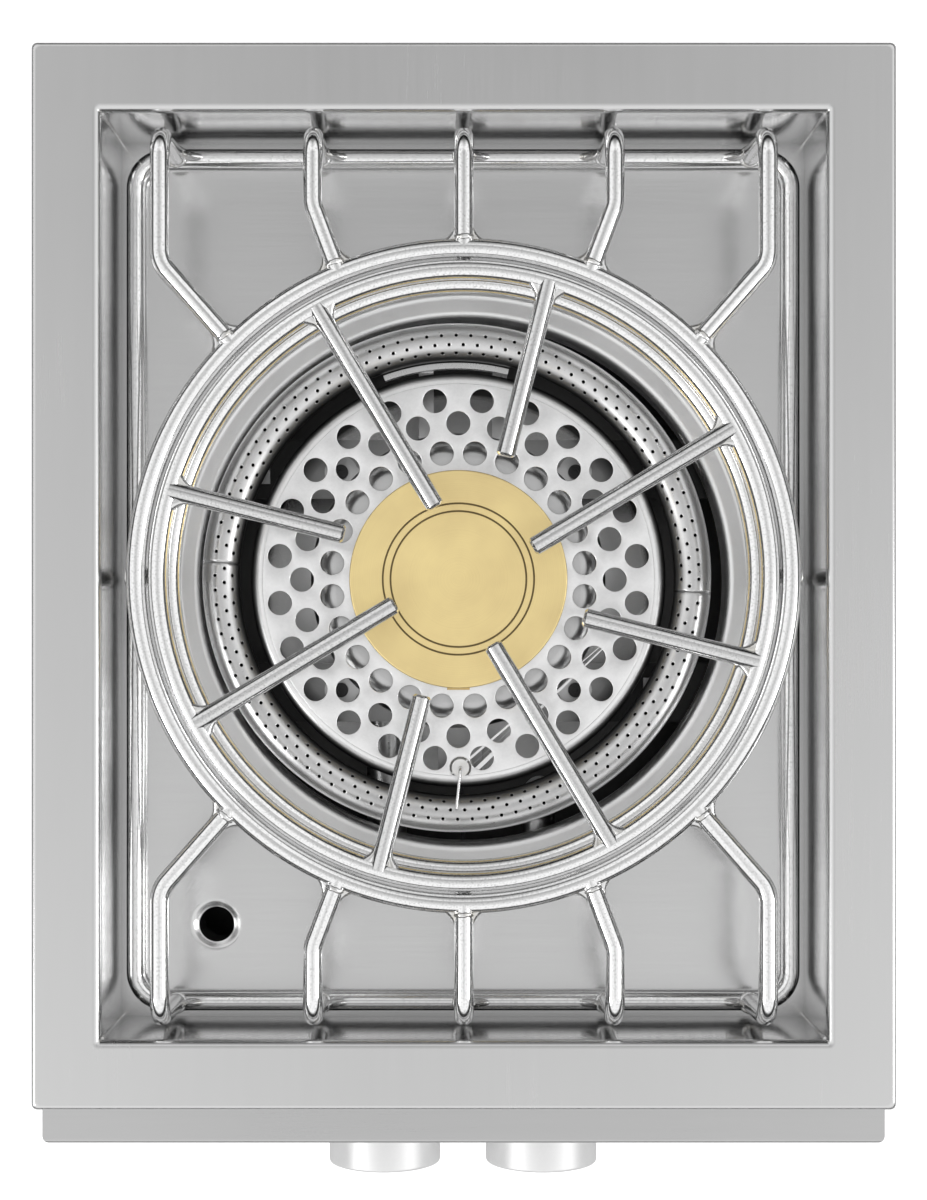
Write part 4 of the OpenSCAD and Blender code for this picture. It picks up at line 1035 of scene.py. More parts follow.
@dataclass(frozen=True)
class Moulded:
    """Moulded rubber or plastic with a fine texture."""

    name: str
    colour: tuple[float, float, float]
    roughness: float
    pebbles: float
    shades: float = 40.0
    span: tuple[float, float] = (0.3, 0.7)
    light: float = 1.5
    rough_pebble: float = 0.2
    depth: float = 0.00006
    relief: float = 0.5

    def build(self) -> Material:
        """Fine pebbling in height and roughness, and a slow change of shade.

        Returns:
            The material.
        """
        material, g = painted(self.name)
        pebble = g.grain(self.pebbles, Lumps.SOFT)
        shade = g.between(g.grain(self.shades, Lumps.SOFT), *self.span)
        g.surface(
            Base_Color=g.blend(shade, tinted(self.colour), tinted(self.colour, self.light)),
            Roughness=pebble.swing(self.rough_pebble) + self.roughness,
            Normal=g.bump(pebble, self.depth, self.relief),
        )
        return material


# Sub-assemblies


@dataclass(frozen=True)
class Web:
    """Flat fillet of weld metal in the corner between two rods.

    In plan it is a triangle with a hollow long side: at share s along the first rod it reaches out
    by width * (1 - s) squared. Its section is a thin lens.
    """

    length: float
    width: float
    half: float
    inset: float = 2.4
    least: float = 0.3
    overlap: float = 1.5
    thinning: float = 0.45
    lumps: float = 0.12
    rows: int = 12
    sides: int = 14

    def add(
        self, made: Surface, at: Array, way: Array, across: Array, start: float, seed: float
    ) -> None:
        """Adds the web to a surface.

        Args:
            made: surface that gets the web.
            at: where the middle lines of the two rods meet.
            way: direction of the first rod, towards the meeting.
            across: direction of the second rod, to the side that gets the web.
            start: radius of the second rod, where the web begins.
            seed: shifts the lumps.
        """
        rise = np.cross(way, across)
        share = np.linspace(0, 1, self.rows)[:, None]
        turn = round_angles(self.sides)[None, :]
        reach = self.width * (1 - share) ** 2 + self.least + self.inset
        lumps = ripple((self.rows, self.sides), seed, self.lumps)
        out = start - self.inset + reach * (0.5 + 0.5 * np.cos(turn)) + lumps
        lift = self.half * (1 - self.thinning * share) * np.sin(turn)
        back = self.overlap - start - share * self.length
        points = at + back[:, :, None] * way + out[:, :, None] * across + lift[:, :, None] * rise
        made.grid(points, round_v=True).fan(points[0]).fan(points[-1])


@dataclass(frozen=True)
class Bead:
    """Lumpy ring of weld metal round a rod, its middle line inset from the rod's face."""

    inset: float
    thick: float
    lumps: float = 0.22
    steps: int = 48
    sides: int = 14
    aside: tuple[float, float, float] = (0.3, 0.5, 0.81)

    def add(self, made: Surface, at: Array, way: Array, rod_r: float, seed: float) -> None:
        """Adds the bead to a surface.

        Args:
            made: surface that gets the bead.
            at: middle of the ring.
            way: direction of the rod.
            rod_r: radius of the rod.
            seed: shifts the lumps.
        """
        way = way / np.linalg.norm(way)
        first = np.cross(way, self.aside)
        first /= np.linalg.norm(first)
        turn = round_angles(self.steps)[:, None]
        around = first * np.cos(turn) + np.cross(way, first) * np.sin(turn)
        path = at + (rod_r - self.inset) * around
        lumps = ripple((self.steps, self.sides), seed, self.lumps * self.thick)
        made.rod(path, self.thick, tuple(way), closed=True, sides=self.sides, lumps=lumps)


@dataclass
class Deck:
    """Flat border round the tray, with its rolled lip, turned-down edge and the tray's walls."""

    half_w: float = 220.0
    half_d: float = 271.5
    border: float = 35.5
    sheet: float = 1.5
    lip_r: float = 4.0
    edge_r: float = 2.5
    edge_h: float = 21.0
    flange: float = 24.0
    wall_bottom: float = -74.5
    corner_r: float = 3.0
    fold_r: float = 0.4
    fold_growth: float = 0.65
    corner_steps: int = 9
    weld_r: float = 0.75
    weld_in: float = 0.35
    weld_lumps: float = 0.12
    weld_steps: int = 60
    weld_sides: int = 12

    def section(self) -> Array:
        """Closed section of the sheet: x outwards from the tray wall's face, then height.

        Returns:
            Rows of offset and height.
        """
        t, lip, edge, out = self.sheet, self.lip_r, self.edge_r, self.border
        low, back = -self.edge_h, out - self.flange
        parts = [
            [[0, self.wall_bottom]],
            arc((lip, -lip), lip, 180, 90, 9),
            arc((out - edge, -edge), edge, 90, 0, 7),
            [[out, low], [back, low], [back, t + low], [out - t, t + low]],
            arc((out - edge, -edge), edge - t, 0, 90, 5),
            arc((lip, -lip), lip - t, 90, 180, 7),
            [[t, self.wall_bottom]],
        ]
        return eased(np.vstack(parts))

    def points(self) -> Array:
        """Carries the section round the border.

        At offset x the corner is an arc of radius fold_r + fold_growth * x, at most the deck's
        corner radius, so the tray's corners are tight folds and the outer edge is rounded.

        Returns:
            Array of places round the border, points of the section and coordinates.
        """
        section = self.section()
        x = section[None, :, 0]
        bend = np.minimum(self.corner_r, self.fold_r + self.fold_growth * x)
        steps = self.corner_steps
        signs = np.array([corner[:2] for corner in CORNERS], float).repeat(steps, axis=0)
        starts = np.array([corner[2] for corner in CORNERS])
        turn = np.radians(np.add.outer(starts, np.linspace(0, 90, steps))).ravel()[:, None]
        across = signs[:, :1] * (self.half_w - self.border + x - bend) + bend * np.cos(turn)
        along = signs[:, 1:] * (self.half_d - self.border + x - bend) + bend * np.sin(turn)
        height = np.broadcast_to(section[None, :, 1], across.shape)
        return np.stack([across, along, height], axis=-1)

    def corner_welds(self) -> Surface:
        """A thin lumpy bead up each corner of the tray, to a millimetre under the lip.

        Returns:
            The four beads.
        """
        made = Surface()
        heights = np.linspace(FLOOR_Z, -self.lip_r - 1, self.weld_steps)
        x, y = (half - self.border - self.weld_in for half in (self.half_w, self.half_d))
        for k, (sx, sy, _) in enumerate(CORNERS):
            path = np.column_stack([np.tile([sx * x, sy * y], (self.weld_steps, 1)), heights])
            lumps = ripple((self.weld_steps, self.weld_sides), k + 1.0, self.weld_lumps)
            made.rod(path, self.weld_r, (1, 0, 0), sides=self.weld_sides, lumps=lumps)
        return made

    def build(self, steel: Material, weld: Material) -> None:
        """Makes the deck and its corner welds.

        Args:
            steel: finish of the sheet.
            weld: finish of the beads.
        """
        sheet = Surface().grid(self.points(), round_u=True, round_v=True)
        sheet.piece("deck_sheet", steel, "burner_unit", ["deck"], "brushed_deck")
        self.corner_welds().piece("tray_corner_welds", weld, "burner_unit", slot="brushed_deck")


@dataclass
class Tray:
    """Tray floor with the raised collar round the burner opening and the dimpled drain."""

    half_w: float = 184.5
    half_d: float = 236.0
    corner_r: float = 0.2
    sheet: float = 1.5
    opening_at: tuple[float, float] = (0.6, -0.9)
    opening_r: float = 140.3
    collar_w: float = 16.0
    collar_h: float = 8.0
    fold_r: float = 5.0
    foot_r: float = 1.6
    foot_flat: float = 0.4
    skirt: float = 6.0
    drain_at: tuple[float, float] = (-133.5, -186.4)
    drain_r: float = 9.5
    dimple_r: float = 14.0
    dimple_h: float = 2.0
    dimple_turn: float = 0.8
    dimple_steps: int = 72
    collar_steps: int = 240

    def collar(self) -> Array:
        """Closed section of the collar, from its foot over the fold and down into the opening.

        Returns:
            Rows of radius and height.
        """
        t, fold, foot = self.sheet, self.fold_r, self.foot_r
        inner, outer = self.opening_r, self.opening_r + self.collar_w
        low, bend = FLOOR_Z - t, FLOOR_Z + self.collar_h - fold
        end = outer + foot + self.foot_flat
        parts = [
            [[end, FLOOR_Z]],
            arc((outer + foot, FLOOR_Z + foot), foot, -90, -180, 6),
            arc((outer - fold, bend), fold, 0, 90, 10),
            arc((inner + fold, bend), fold, 90, 180, 10),
            [[inner, low - self.skirt], [inner + t, low - self.skirt]],
            arc((inner + fold, bend), fold - t, 180, 90, 8),
            arc((outer - fold, bend), fold - t, 90, 0, 8),
            [[outer - t, low], [end, low]],
        ]
        return eased(np.vstack(parts), reach=0.2)

    def dimple(self) -> Array:
        """Closed section of the drain's dimple.

        It falls from the floor to the hole along the first part of half a cosine wave.

        Returns:
            Rows of radius and height.
        """
        share = np.linspace(0, 1, 9)
        wave = 0.5 - 0.5 * np.cos(share * math.pi * self.dimple_turn)
        radius = self.dimple_r - (self.dimple_r - self.drain_r) * share
        upper = np.column_stack([radius, FLOOR_Z - self.dimple_h * wave / wave[-1]])
        return np.vstack([upper, (upper - [0, self.sheet])[::-1]])

    def build(self, steel: Material, satin: Material) -> None:
        """Makes the floor with its dimple, and the pressed collar.

        Args:
            steel: finish of the floor.
            satin: finish of the collar.
        """
        foot = self.opening_r + self.collar_w + self.foot_r + self.foot_flat
        rims = [
            Rim((0, 0), self.corner_r, (self.half_w, self.half_d), steps=3),
            Rim(self.opening_at, foot, steps=61),
            Rim(self.drain_at, self.dimple_r, steps=19),
        ]
        floor = Surface().plate(rims, FLOOR_Z, self.sheet)
        floor.lathe(self.dimple(), self.drain_at, self.dimple_steps)
        floor.piece("tray_sheet", steel, "burner_unit", ["tray_floor"], "brushed_tray", crease=30)
        collar = Surface().lathe(self.collar(), self.opening_at, self.collar_steps)
        collar.piece("tray_collar", satin, "burner_unit", slot="brushed_tray", crease=30)


@dataclass
class Grate:
    """Lift-out rod grate: base frame, legs, outer ring, seat ring and ties.

    A leg is given by its distance from the middle, how far back it turns in (0 for a straight leg)
    and the angle at which it meets the outer ring. A ring is given by its radius and height. The
    foot of a leg and the end of a stub lie join away from the middle line that they meet.
    """

    rod_r: float = 5.0
    bar_x: float = 176.3
    bar_y: float = 227.0
    bar_z: float = -67.7
    corner_r: float = 16.0
    lean: float = 3.0
    top_bend: float = 12.0
    turn_bend: float = 16.0
    outer_ring: tuple[float, float] = (166.0, 3.0)
    seat_ring: tuple[float, float] = (149.6, -5.89)
    stub_r: float = 4.0
    stub_z: float = -6.4
    stub_sides: int = 24
    legs: tuple[tuple[float, float, float], ...] = (
        (0.0, 0.0, 90.0),
        (76.5, 188.0, 67.5),
        (154.0, 159.0, 45.0),
        (-76.5, 188.0, 112.5),
        (-154.0, 159.0, 135.0),
    )
    ring_bead: Bead = Bead(1.0, 1.7)
    bar_bead: Bead = Bead(0.2, 1.3)
    stub_bead: Bead = Bead(0.1, 1.2)
    ring_web: Web = Web(7.5, 6.0, 3.0)
    foot_web: Web = Web(12.0, 12.0, 2.4)
    web_in: float = 0.1
    ring_gap: float = 0.2
    bar_dip: float = 1.2
    post_dip: float = 0.6
    stub_share: float = 0.25
    join: float = 1.0

    def frame(self) -> Array:
        """Middle line of the base frame, a rounded rectangle."""
        outline = Rim((0, 0), self.corner_r, (self.bar_x, self.bar_y), steps=17)
        return raised(outline.loop(0.0), self.bar_z)

    def leg(self, x: float, turn_y: float, angle: float, side: int) -> Array:
        """Middle line of one leg, from the bar up, over and in to the outer ring.

        Args:
            x: distance from the middle, with its sign.
            turn_y: how far back it turns in, 0 for a straight leg.
            angle: where it meets the outer ring, in degrees.
            side: 1 for the rear and -1 for the front.

        Returns:
            The points of the leg's middle line.
        """
        ring_r, rise = self.outer_ring
        end = [ring_r * math.cos(math.radians(angle)), ring_r * math.sin(math.radians(angle)), rise]
        foot = [x, self.bar_y, self.bar_z + self.join]
        corners = [foot, [x, self.bar_y - self.lean, rise]]
        bends = [0.0, self.top_bend]
        if turn_y > 0:
            corners.append([x, turn_y, rise])
            bends.append(self.turn_bend)
        corners.append(end)
        path = rounded_path(corners, [*bends, 0.0])
        return path * np.array([1, side, 1])

    def leg_rods(self, side: int, beads: Surface) -> Surface:
        """The five legs of one side.

        Args:
            side: 1 for the rear and -1 for the front.
            beads: surface that gets their welds.

        Returns:
            The rods.
        """
        r = self.rod_r
        web_start = r - self.web_in
        rods = Surface()
        # The last value given to a weld, here and below, only shifts its lumps.
        for k, (x, turn_y, angle) in enumerate(self.legs):
            path = self.leg(x, turn_y, angle, side)
            rods.rod(path, r, (1, 0, 0))
            into = path[-1] - path[-2]
            into /= np.linalg.norm(into)
            self.ring_bead.add(beads, path[-1] - into * (r + self.ring_gap), into, r, k + side)
            low = path[0] + np.array([0, 0, r - self.bar_dip])
            self.bar_bead.add(beads, low, path[1] - path[0], r, k - side)
            for hand in (-1, 1):
                across = np.array([-into[1], into[0], 0.0]) * hand
                self.ring_web.add(beads, path[-1], into, across, web_start, k + 0.3 * hand)
            inner = np.array([-1.0 if x > 0 else 1.0, 0.0, 0.0])
            foot = np.array([x, side * self.bar_y, self.bar_z])
            self.foot_web.add(beads, foot, np.array([0, 0, -1.0]), inner, web_start, k + 0.7 * side)
        return rods

    def tie_rods(self, beads: Surface) -> Surface:
        """The four stubs between the rings, and the two posts at the sides.

        Args:
            beads: surface that gets their welds.

        Returns:
            The rods.
        """
        r, (outer_r, outer_z) = self.rod_r, self.outer_ring
        rods = Surface()
        for turn in (0, 90, 180, 270):
            c, s = math.cos(math.radians(turn)), math.sin(math.radians(turn))
            reach = (self.seat_ring[0], outer_r + self.join)
            stub = np.array([[q * c, q * s, self.stub_z] for q in reach])
            rods.rod(stub, self.stub_r, UP, sides=self.stub_sides)
            way = stub[1] - stub[0]
            self.stub_bead.add(beads, stub[1] - way * self.stub_share, way, self.stub_r, turn + 0.5)
            if turn % 180 == 0:
                post = np.array([[self.bar_x * c, 0, self.bar_z], [outer_r * c, 0, outer_z]])
                rods.rod(post, r, (0, 1, 0))
                way = post[1] - post[0]
                way /= np.linalg.norm(way)
                self.bar_bead.add(beads, post[0] + way * (r - self.post_dip), way, r, turn + 0.2)
                self.bar_bead.add(beads, post[1] - way * (r - self.ring_gap), way, r, turn + 0.4)
        return rods

    def build(self, steel: Material, weld: Material) -> None:
        """Makes the rods and the beads that join them.

        Args:
            steel: finish of the rods.
            weld: finish of the beads.
        """
        beads = Surface()
        base = Surface().rod(self.frame(), self.rod_r, UP, closed=True)
        rods = {
            ("base_frame_rod", "grate_base"): base,
            ("leg_rods_rear", "grate_legs_rear"): self.leg_rods(1, beads),
            ("leg_rods_front", "grate_legs_front"): self.leg_rods(-1, beads),
            ("outer_ring_rod", "grate_outer_ring"): Surface().ring(self.outer_ring, self.rod_r),
            ("seat_ring_rod", "grate_seat_ring"): Surface().ring(self.seat_ring, self.rod_r),
            ("tie_rods", "grate_ties"): self.tie_rods(beads),
        }
        for (name, solid), made in rods.items():
            made.piece(name, steel, "grate", [solid], "polished_rod")
        beads.piece("grate_welds", weld, "grate", slot="polished_rod", crease=60)


@dataclass
class PotSupport:
    """Loose pot ring with its eight swirled fingers, whose free ends are chamfered."""

    ring: tuple[float, float] = (155.0, 3.0)
    rod_r: float = 5.0
    finger_r: float = 4.8
    finger_z: float = 4.21
    count: int = 8
    first: float = 28.8
    swirl: float = 5.5
    inner: tuple[float, float] = (37.5, 64.0)
    edge: float = 1.2
    edge_ease: tuple[float, float] = (0.25, 0.3)
    run_ease: tuple[float, float] = (0.4, 6.0)
    web: Web = Web(7.0, 6.5, 3.2)

    def finger(self, index: int) -> tuple[Array, Array, Array]:
        """Middle line, radii and direction of one finger.

        It lies on a line that passes the ring's axis at the distance of the swirl, so a point at
        radius q is sqrt(q squared - swirl squared) along that line.

        Args:
            index: number of the finger.

        Returns:
            The points of the middle line, the radius at each, and the way outwards.
        """
        ring_r, r, edge = self.ring[0], self.finger_r, self.edge
        end = math.sqrt(self.inner[index % 2] ** 2 - self.swirl**2)
        root = math.sqrt(ring_r**2 - self.swirl**2)
        lean = math.degrees(math.asin(self.swirl / ring_r))
        turn = math.radians(self.first + index * 360 / self.count + lean)
        way = np.array([math.cos(turn), math.sin(turn), 0.0])
        aside = np.array([math.sin(turn), -math.cos(turn), 0.0]) * self.swirl
        (ease, growth), (near, far) = self.edge_ease, self.run_ease
        along = np.array([end, end + ease, end + edge, end + edge + near, root - far, root])
        radii = np.array([r - edge, r - edge + growth, r, r, r, r])
        return along[:, None] * way + aside + np.array([0, 0, self.finger_z]), radii, way

    def build(self, steel: Material, ground: Material, weld: Material) -> None:
        """Makes the ring, the fingers and their webs.

        Args:
            steel: finish of the ring.
            ground: finish of the fingers.
            weld: finish of the webs.
        """
        ring = Surface().ring(self.ring, self.rod_r)
        ring.piece("pot_ring_rod", steel, "pot_support", ["pot_ring"], "polished_rod")
        fingers, webs = Surface(), Surface()
        for index in range(self.count):
            path, radii, way = self.finger(index)
            fingers.rod(path, radii, UP)
            for side in (-1, 1):
                across = np.array([-way[1], way[0], 0.0]) * side
                self.web.add(webs, path[-1], way, across, self.finger_r, index + side * 0.5)
        fingers.piece("finger_rods", ground, "pot_support", ["pot_ring_fingers"], "polished_rod")
        webs.piece("finger_welds", weld, "pot_support", slot="polished_rod", crease=60)


@dataclass
class RingBurner:
    """Outer burner: two half rings of tube with three rows of small gas ports.

    A row is given by the upper and the lower slant of its band, the slant of its ports and its
    shift in half pitches.
    """

    radius: float = 125.8
    tube_r: float = 10.0
    wall: float = 1.5
    height: float = -57.0
    seam: float = -3.5
    port_r: float = 0.9
    pitch: float = 3.486
    first: float = 1.3
    ports: int = 51
    rows: tuple[Row, ...] = (
        (28.5, -0.5, 14.0, 1),
        (-0.5, -29.0, -15.0, 0),
        (-29.0, -57.0, -42.5, 1),
    )
    shares: tuple[float, ...] = (0.0, 0.45, 0.8, 1.0)
    rest_steps: int = 36

    def tube(self, round_deg: Array, slant_deg: Array, start: float) -> Array:
        """Points of the tube at an angle round the ring and a slant from the tube's top.

        The tube's surface lies at radius + tube_r sin(slant) from the middle, and tube_r cos(slant)
        above the tube's middle line; a positive slant leans outwards.

        Args:
            round_deg: angles round the ring, from the start of the half ring.
            slant_deg: slants.
            start: where the half ring starts.

        Returns:
            The points.
        """
        u, v = np.broadcast_arrays(np.radians(round_deg + start), np.radians(slant_deg))
        reach = self.radius + self.tube_r * np.sin(v)
        x, y = RING_AT[0] + reach * np.cos(u), RING_AT[1] + reach * np.sin(u)
        return np.stack([x, y, self.height + self.tube_r * np.cos(v)], axis=-1)

    def cells(self, lows: Array, holes: Array, row: Row, start: float) -> Array:
        """Rings of points from the border of each cell to its port.

        A cell spans one pitch of the ring and one band of slants. Sixteen points round its border
        are drawn in steps to sixteen points on the port's circle.

        Args:
            lows: left, middle and right of each cell, in degrees.
            holes: middle of each port, in degrees.
            row: upper and lower slant of the band, slant of the ports and the row's shift.
            start: where the half ring starts.

        Returns:
            Array of cells, rings, sixteen points and three coordinates.
        """
        high, low, slant, _ = row
        left, middle, right = lows.T
        side = np.stack([left, (left + middle) / 2, middle, (middle + right) / 2, right], axis=1)
        down = np.linspace(high, low, 5)
        ends = [np.repeat(end[:, None], 4, 1) for end in (right, left)]
        u = np.concatenate([side[:, :4], ends[0], side[:, :0:-1], ends[1]], axis=1)
        v = np.concatenate([[high] * 4, down[:4], [low] * 4, down[:0:-1]])[None, :]
        turn = np.radians(135 - np.arange(16) * 22.5)[None, :]
        across = self.port_r / (self.radius + self.tube_r * math.sin(math.radians(slant)))
        hole_u = holes[:, None] + math.degrees(across) * np.cos(turn)
        hole_v = slant + math.degrees(self.port_r / self.tube_r) * np.sin(turn)
        share = np.array(self.shares)[None, :, None]
        ring_u = u[:, None, :] * (1 - share) + hole_u[:, None, :] * share
        ring_v = v[:, None, :] * (1 - share) + hole_v[:, None, :] * share
        return self.tube(ring_u, ring_v, start)

    def half(self, start: float) -> Surface:
        """Half of the tube as one open sheet whose cells share their border points.

        Args:
            start: where the half ring starts, in degrees.

        Returns:
            The open sheet.
        """
        made = Surface()
        step = self.pitch / 2
        edges = np.concatenate([[0.0], self.first + step * np.arange(0, 2 * self.ports + 1)])
        quarters = np.sort(np.concatenate([edges, (edges[1:] + edges[:-1]) / 2, [180.0]]))
        for row in self.rows:
            shift = row[3]
            pick = shift + 2 * np.arange(self.ports)
            lows = np.stack([edges[pick], edges[pick + 1], edges[pick + 2]], axis=1)
            holes = self.first + step * shift + self.pitch * np.arange(self.ports)
            cells = self.cells(lows, holes, row, start)
            for ring in range(cells.shape[1] - 1):
                pair = cells[:, ring : ring + 2]
                index = made.keep(pair) + np.arange(pair.shape[0] * 32).reshape(-1, 2, 16)
                after = np.roll(index, -1, axis=2)
                faces = np.stack([index[:, 0], index[:, 1], after[:, 1], after[:, 0]], axis=-1)
                made.quads.append(faces.reshape(-1, 4))
            down = np.linspace(row[0], row[1], 5)
            for low, high in ((0.0, lows[0, 0]), (lows[-1, 2], 180.0)):
                strip = quarters[(quarters >= low - CLOSE) & (quarters <= high + CLOSE)]
                if len(strip) > 1:
                    made.grid(self.tube(strip[:, None], down[None, :], start))
        rest = np.linspace(self.rows[0][0], self.rows[-1][1] + 360, self.rest_steps)
        return made.grid(self.tube(quarters[:, None], rest[None, :], start))

    def build(self, steel: Material, recess_shade: Material) -> None:
        """Makes the two half rings.

        Args:
            steel: finish of the tube's outer face.
            recess_shade: finish of its inner face and of the ports' walls, near black as painted
                shade.
        """
        for label, start in (("rear", self.seam), ("front", self.seam + 180)):
            self.half(start).piece(
                f"ring_tube_{label}",
                steel,
                "burner_unit",
                [f"ring_burner_{label}"],
                "burner_steel",
                crease=50,
                wall=self.wall,
                inside=recess_shade,
            )


@dataclass
class InnerBurner:
    """Perforated disc and brass cap of the inner burner."""

    disc_r: float = 111.0
    disc_z: float = -55.0
    disc_t: float = 1.2
    rim_r: float = 6.0
    rim_flat: float = 0.4
    skirt: float = 14.0
    mouth_r: float = 45.4
    rows: tuple[float, ...] = (67.8, 83.4, 96.0)
    count: int = 24
    hole_r: float = 6.35
    hole_ease: float = 0.35
    electrode: tuple[float, float] = (1.1, -100.2)
    electrode_hole: float = 5.65
    cap_r: float = 57.7
    cap_z: float = -45.0
    cap_t: float = 4.0
    cap_ease: float = 0.9
    cap_under_ease: float = 0.3
    spigot_r: float = 42.6
    spigot_h: float = 3.0
    grooves: tuple[float, ...] = CAP_GROOVES
    groove_w: float = 0.8
    groove_h: float = 0.7
    groove_ease: float = 0.12
    groove_draft: float = 0.08
    rim_steps: int = 240
    cap_steps: int = 192

    def disc(self) -> Surface:
        """Plate with three rows of holes inside a rolled rim.

        Returns:
            The disc.
        """
        x, y = BURNER_AT
        r, z, t, rim = self.disc_r, self.disc_z, self.disc_t, self.rim_r
        flat_r = r - rim - self.rim_flat
        electrode_at = (x + self.electrode[0], y + self.electrode[1])
        rims = [
            Rim((x, y), flat_r, steps=61),
            Rim((x, y), self.mouth_r, steps=31),
            Rim(electrode_at, self.electrode_hole),
        ]
        for row, radius in enumerate(self.rows):
            shift = 0.5 if row % 2 == 0 else 0
            turn = np.radians((np.arange(self.count) + shift) * 360 / self.count)
            holes = BURNER_AT + radius * np.stack([np.cos(turn), np.sin(turn)], axis=-1)
            rims += [Rim(tuple(hole), self.hole_r, steps=11) for hole in holes]
        section = [
            [[flat_r, z]],
            arc((r - rim, z - rim), rim, 90, 0, 10),
            [[r, z - self.skirt], [r - t, z - self.skirt]],
            arc((r - rim, z - rim), rim - t, 0, 90, 8),
            [[flat_r, z - t]],
        ]
        plate = Surface().plate(rims, z, t, self.hole_ease)
        return plate.lathe(eased(np.vstack(section), reach=0.2), (x, y), self.rim_steps)

    def cap(self) -> Surface:
        """Brass cap turned from one section, with its two grooves and the spigot under it.

        Returns:
            The cap.
        """
        r, z, ease, draft = self.cap_r, self.cap_z, self.groove_ease, self.groove_draft
        top = [[0.0, z]]
        for groove in sorted(self.grooves):
            a, b, low = groove - self.groove_w / 2, groove + self.groove_w / 2, z - self.groove_h
            top += [[a - ease, z], [a, z - ease], [a + draft, low]]
            top += [[b - draft, low], [b, z - ease], [b + ease, z]]
        edge = arc((r - self.cap_ease, z - self.cap_ease), self.cap_ease, 90, 0, 6).tolist()
        low, foot = z - self.cap_t, z - self.cap_t - self.spigot_h
        under = [[r, low + self.cap_under_ease], [r - self.cap_under_ease, low]]
        under += [[self.spigot_r, low], [self.spigot_r, foot], [0.0, foot]]
        section = eased(np.array(top + edge + under), reach=0.15)
        return Surface().lathe(section, BURNER_AT, self.cap_steps, closed=False)

    def build(self, steel: Material, brass: Material) -> None:
        """Makes the disc and the cap."""
        self.disc().piece("air_disc", steel, "burner_unit", ["perforated_disc"], "burner_steel")
        self.cap().piece("brass_cap", brass, "cap", ["burner_cap"], "cap_brass", crease=32)


@dataclass
class StemSprings:
    """Return springs of the two valve stems, which shorten as a knob is pushed."""

    front: float = -285.0
    back: float = -272.0
    coil_r: float = 5.7
    wire_r: float = 0.5
    turns: int = 6
    steps: int = 28
    flat_share: float = 0.08
    wire_sides: int = 10

    def path(self, x: float) -> Array:
        """Middle line of a spring's wire.

        It is a helix about the stem, whose pitch drops to nothing over the flat share at each end.

        Args:
            x: place of the stem.

        Returns:
            The points of the middle line.
        """
        share = np.linspace(0, 1, self.turns * self.steps + 1)
        rise = np.clip((share - self.flat_share) / (1 - 2 * self.flat_share), 0, 1)
        length = self.back - self.front - 2 * self.wire_r
        turn = share * self.turns * 2 * math.pi
        return np.column_stack(
            [
                x + self.coil_r * np.cos(turn),
                self.front + self.wire_r + rise * length,
                STEM_Z + self.coil_r * np.sin(turn),
            ]
        )

    def build(self, steel: Material) -> None:
        """Winds each spring along its stem and gives each its own mesh.

        Args:
            steel: finish of the wire.
        """
        for label, x in (("left", -VALVE_X), ("right", VALVE_X)):
            made = Surface().rod(self.path(x), self.wire_r, (0, 1, 0), sides=self.wire_sides)
            coil = made.piece(
                f"stem_coil_{label}", steel, "burner_unit", [f"stem_spring_{label}"], "zinc_plate"
            )
            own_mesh(coil)


@dataclass(frozen=True)
class Lamp:
    """A soft rectangular lamp: its place and size in metres and its power in watts."""

    name: str
    at: tuple[float, float, float]
    size: tuple[float, float]
    power: float

    def build(self, aim: Sequence[float]) -> None:
        """Adds the lamp, aimed at a point.

        Args:
            aim: the point, in metres.
        """
        data = bpy.data.lights.new(self.name, "AREA")
        data.shape = "RECTANGLE"
        data.size, data.size_y = self.size
        data.energy = self.power
        made = bpy.data.objects.new(self.name, data)
        bpy.context.scene.collection.objects.link(made)
        made.location = self.at
        made.rotation_euler = (Vector(aim) - Vector(self.at)).to_track_quat("-Z", "Y").to_euler()


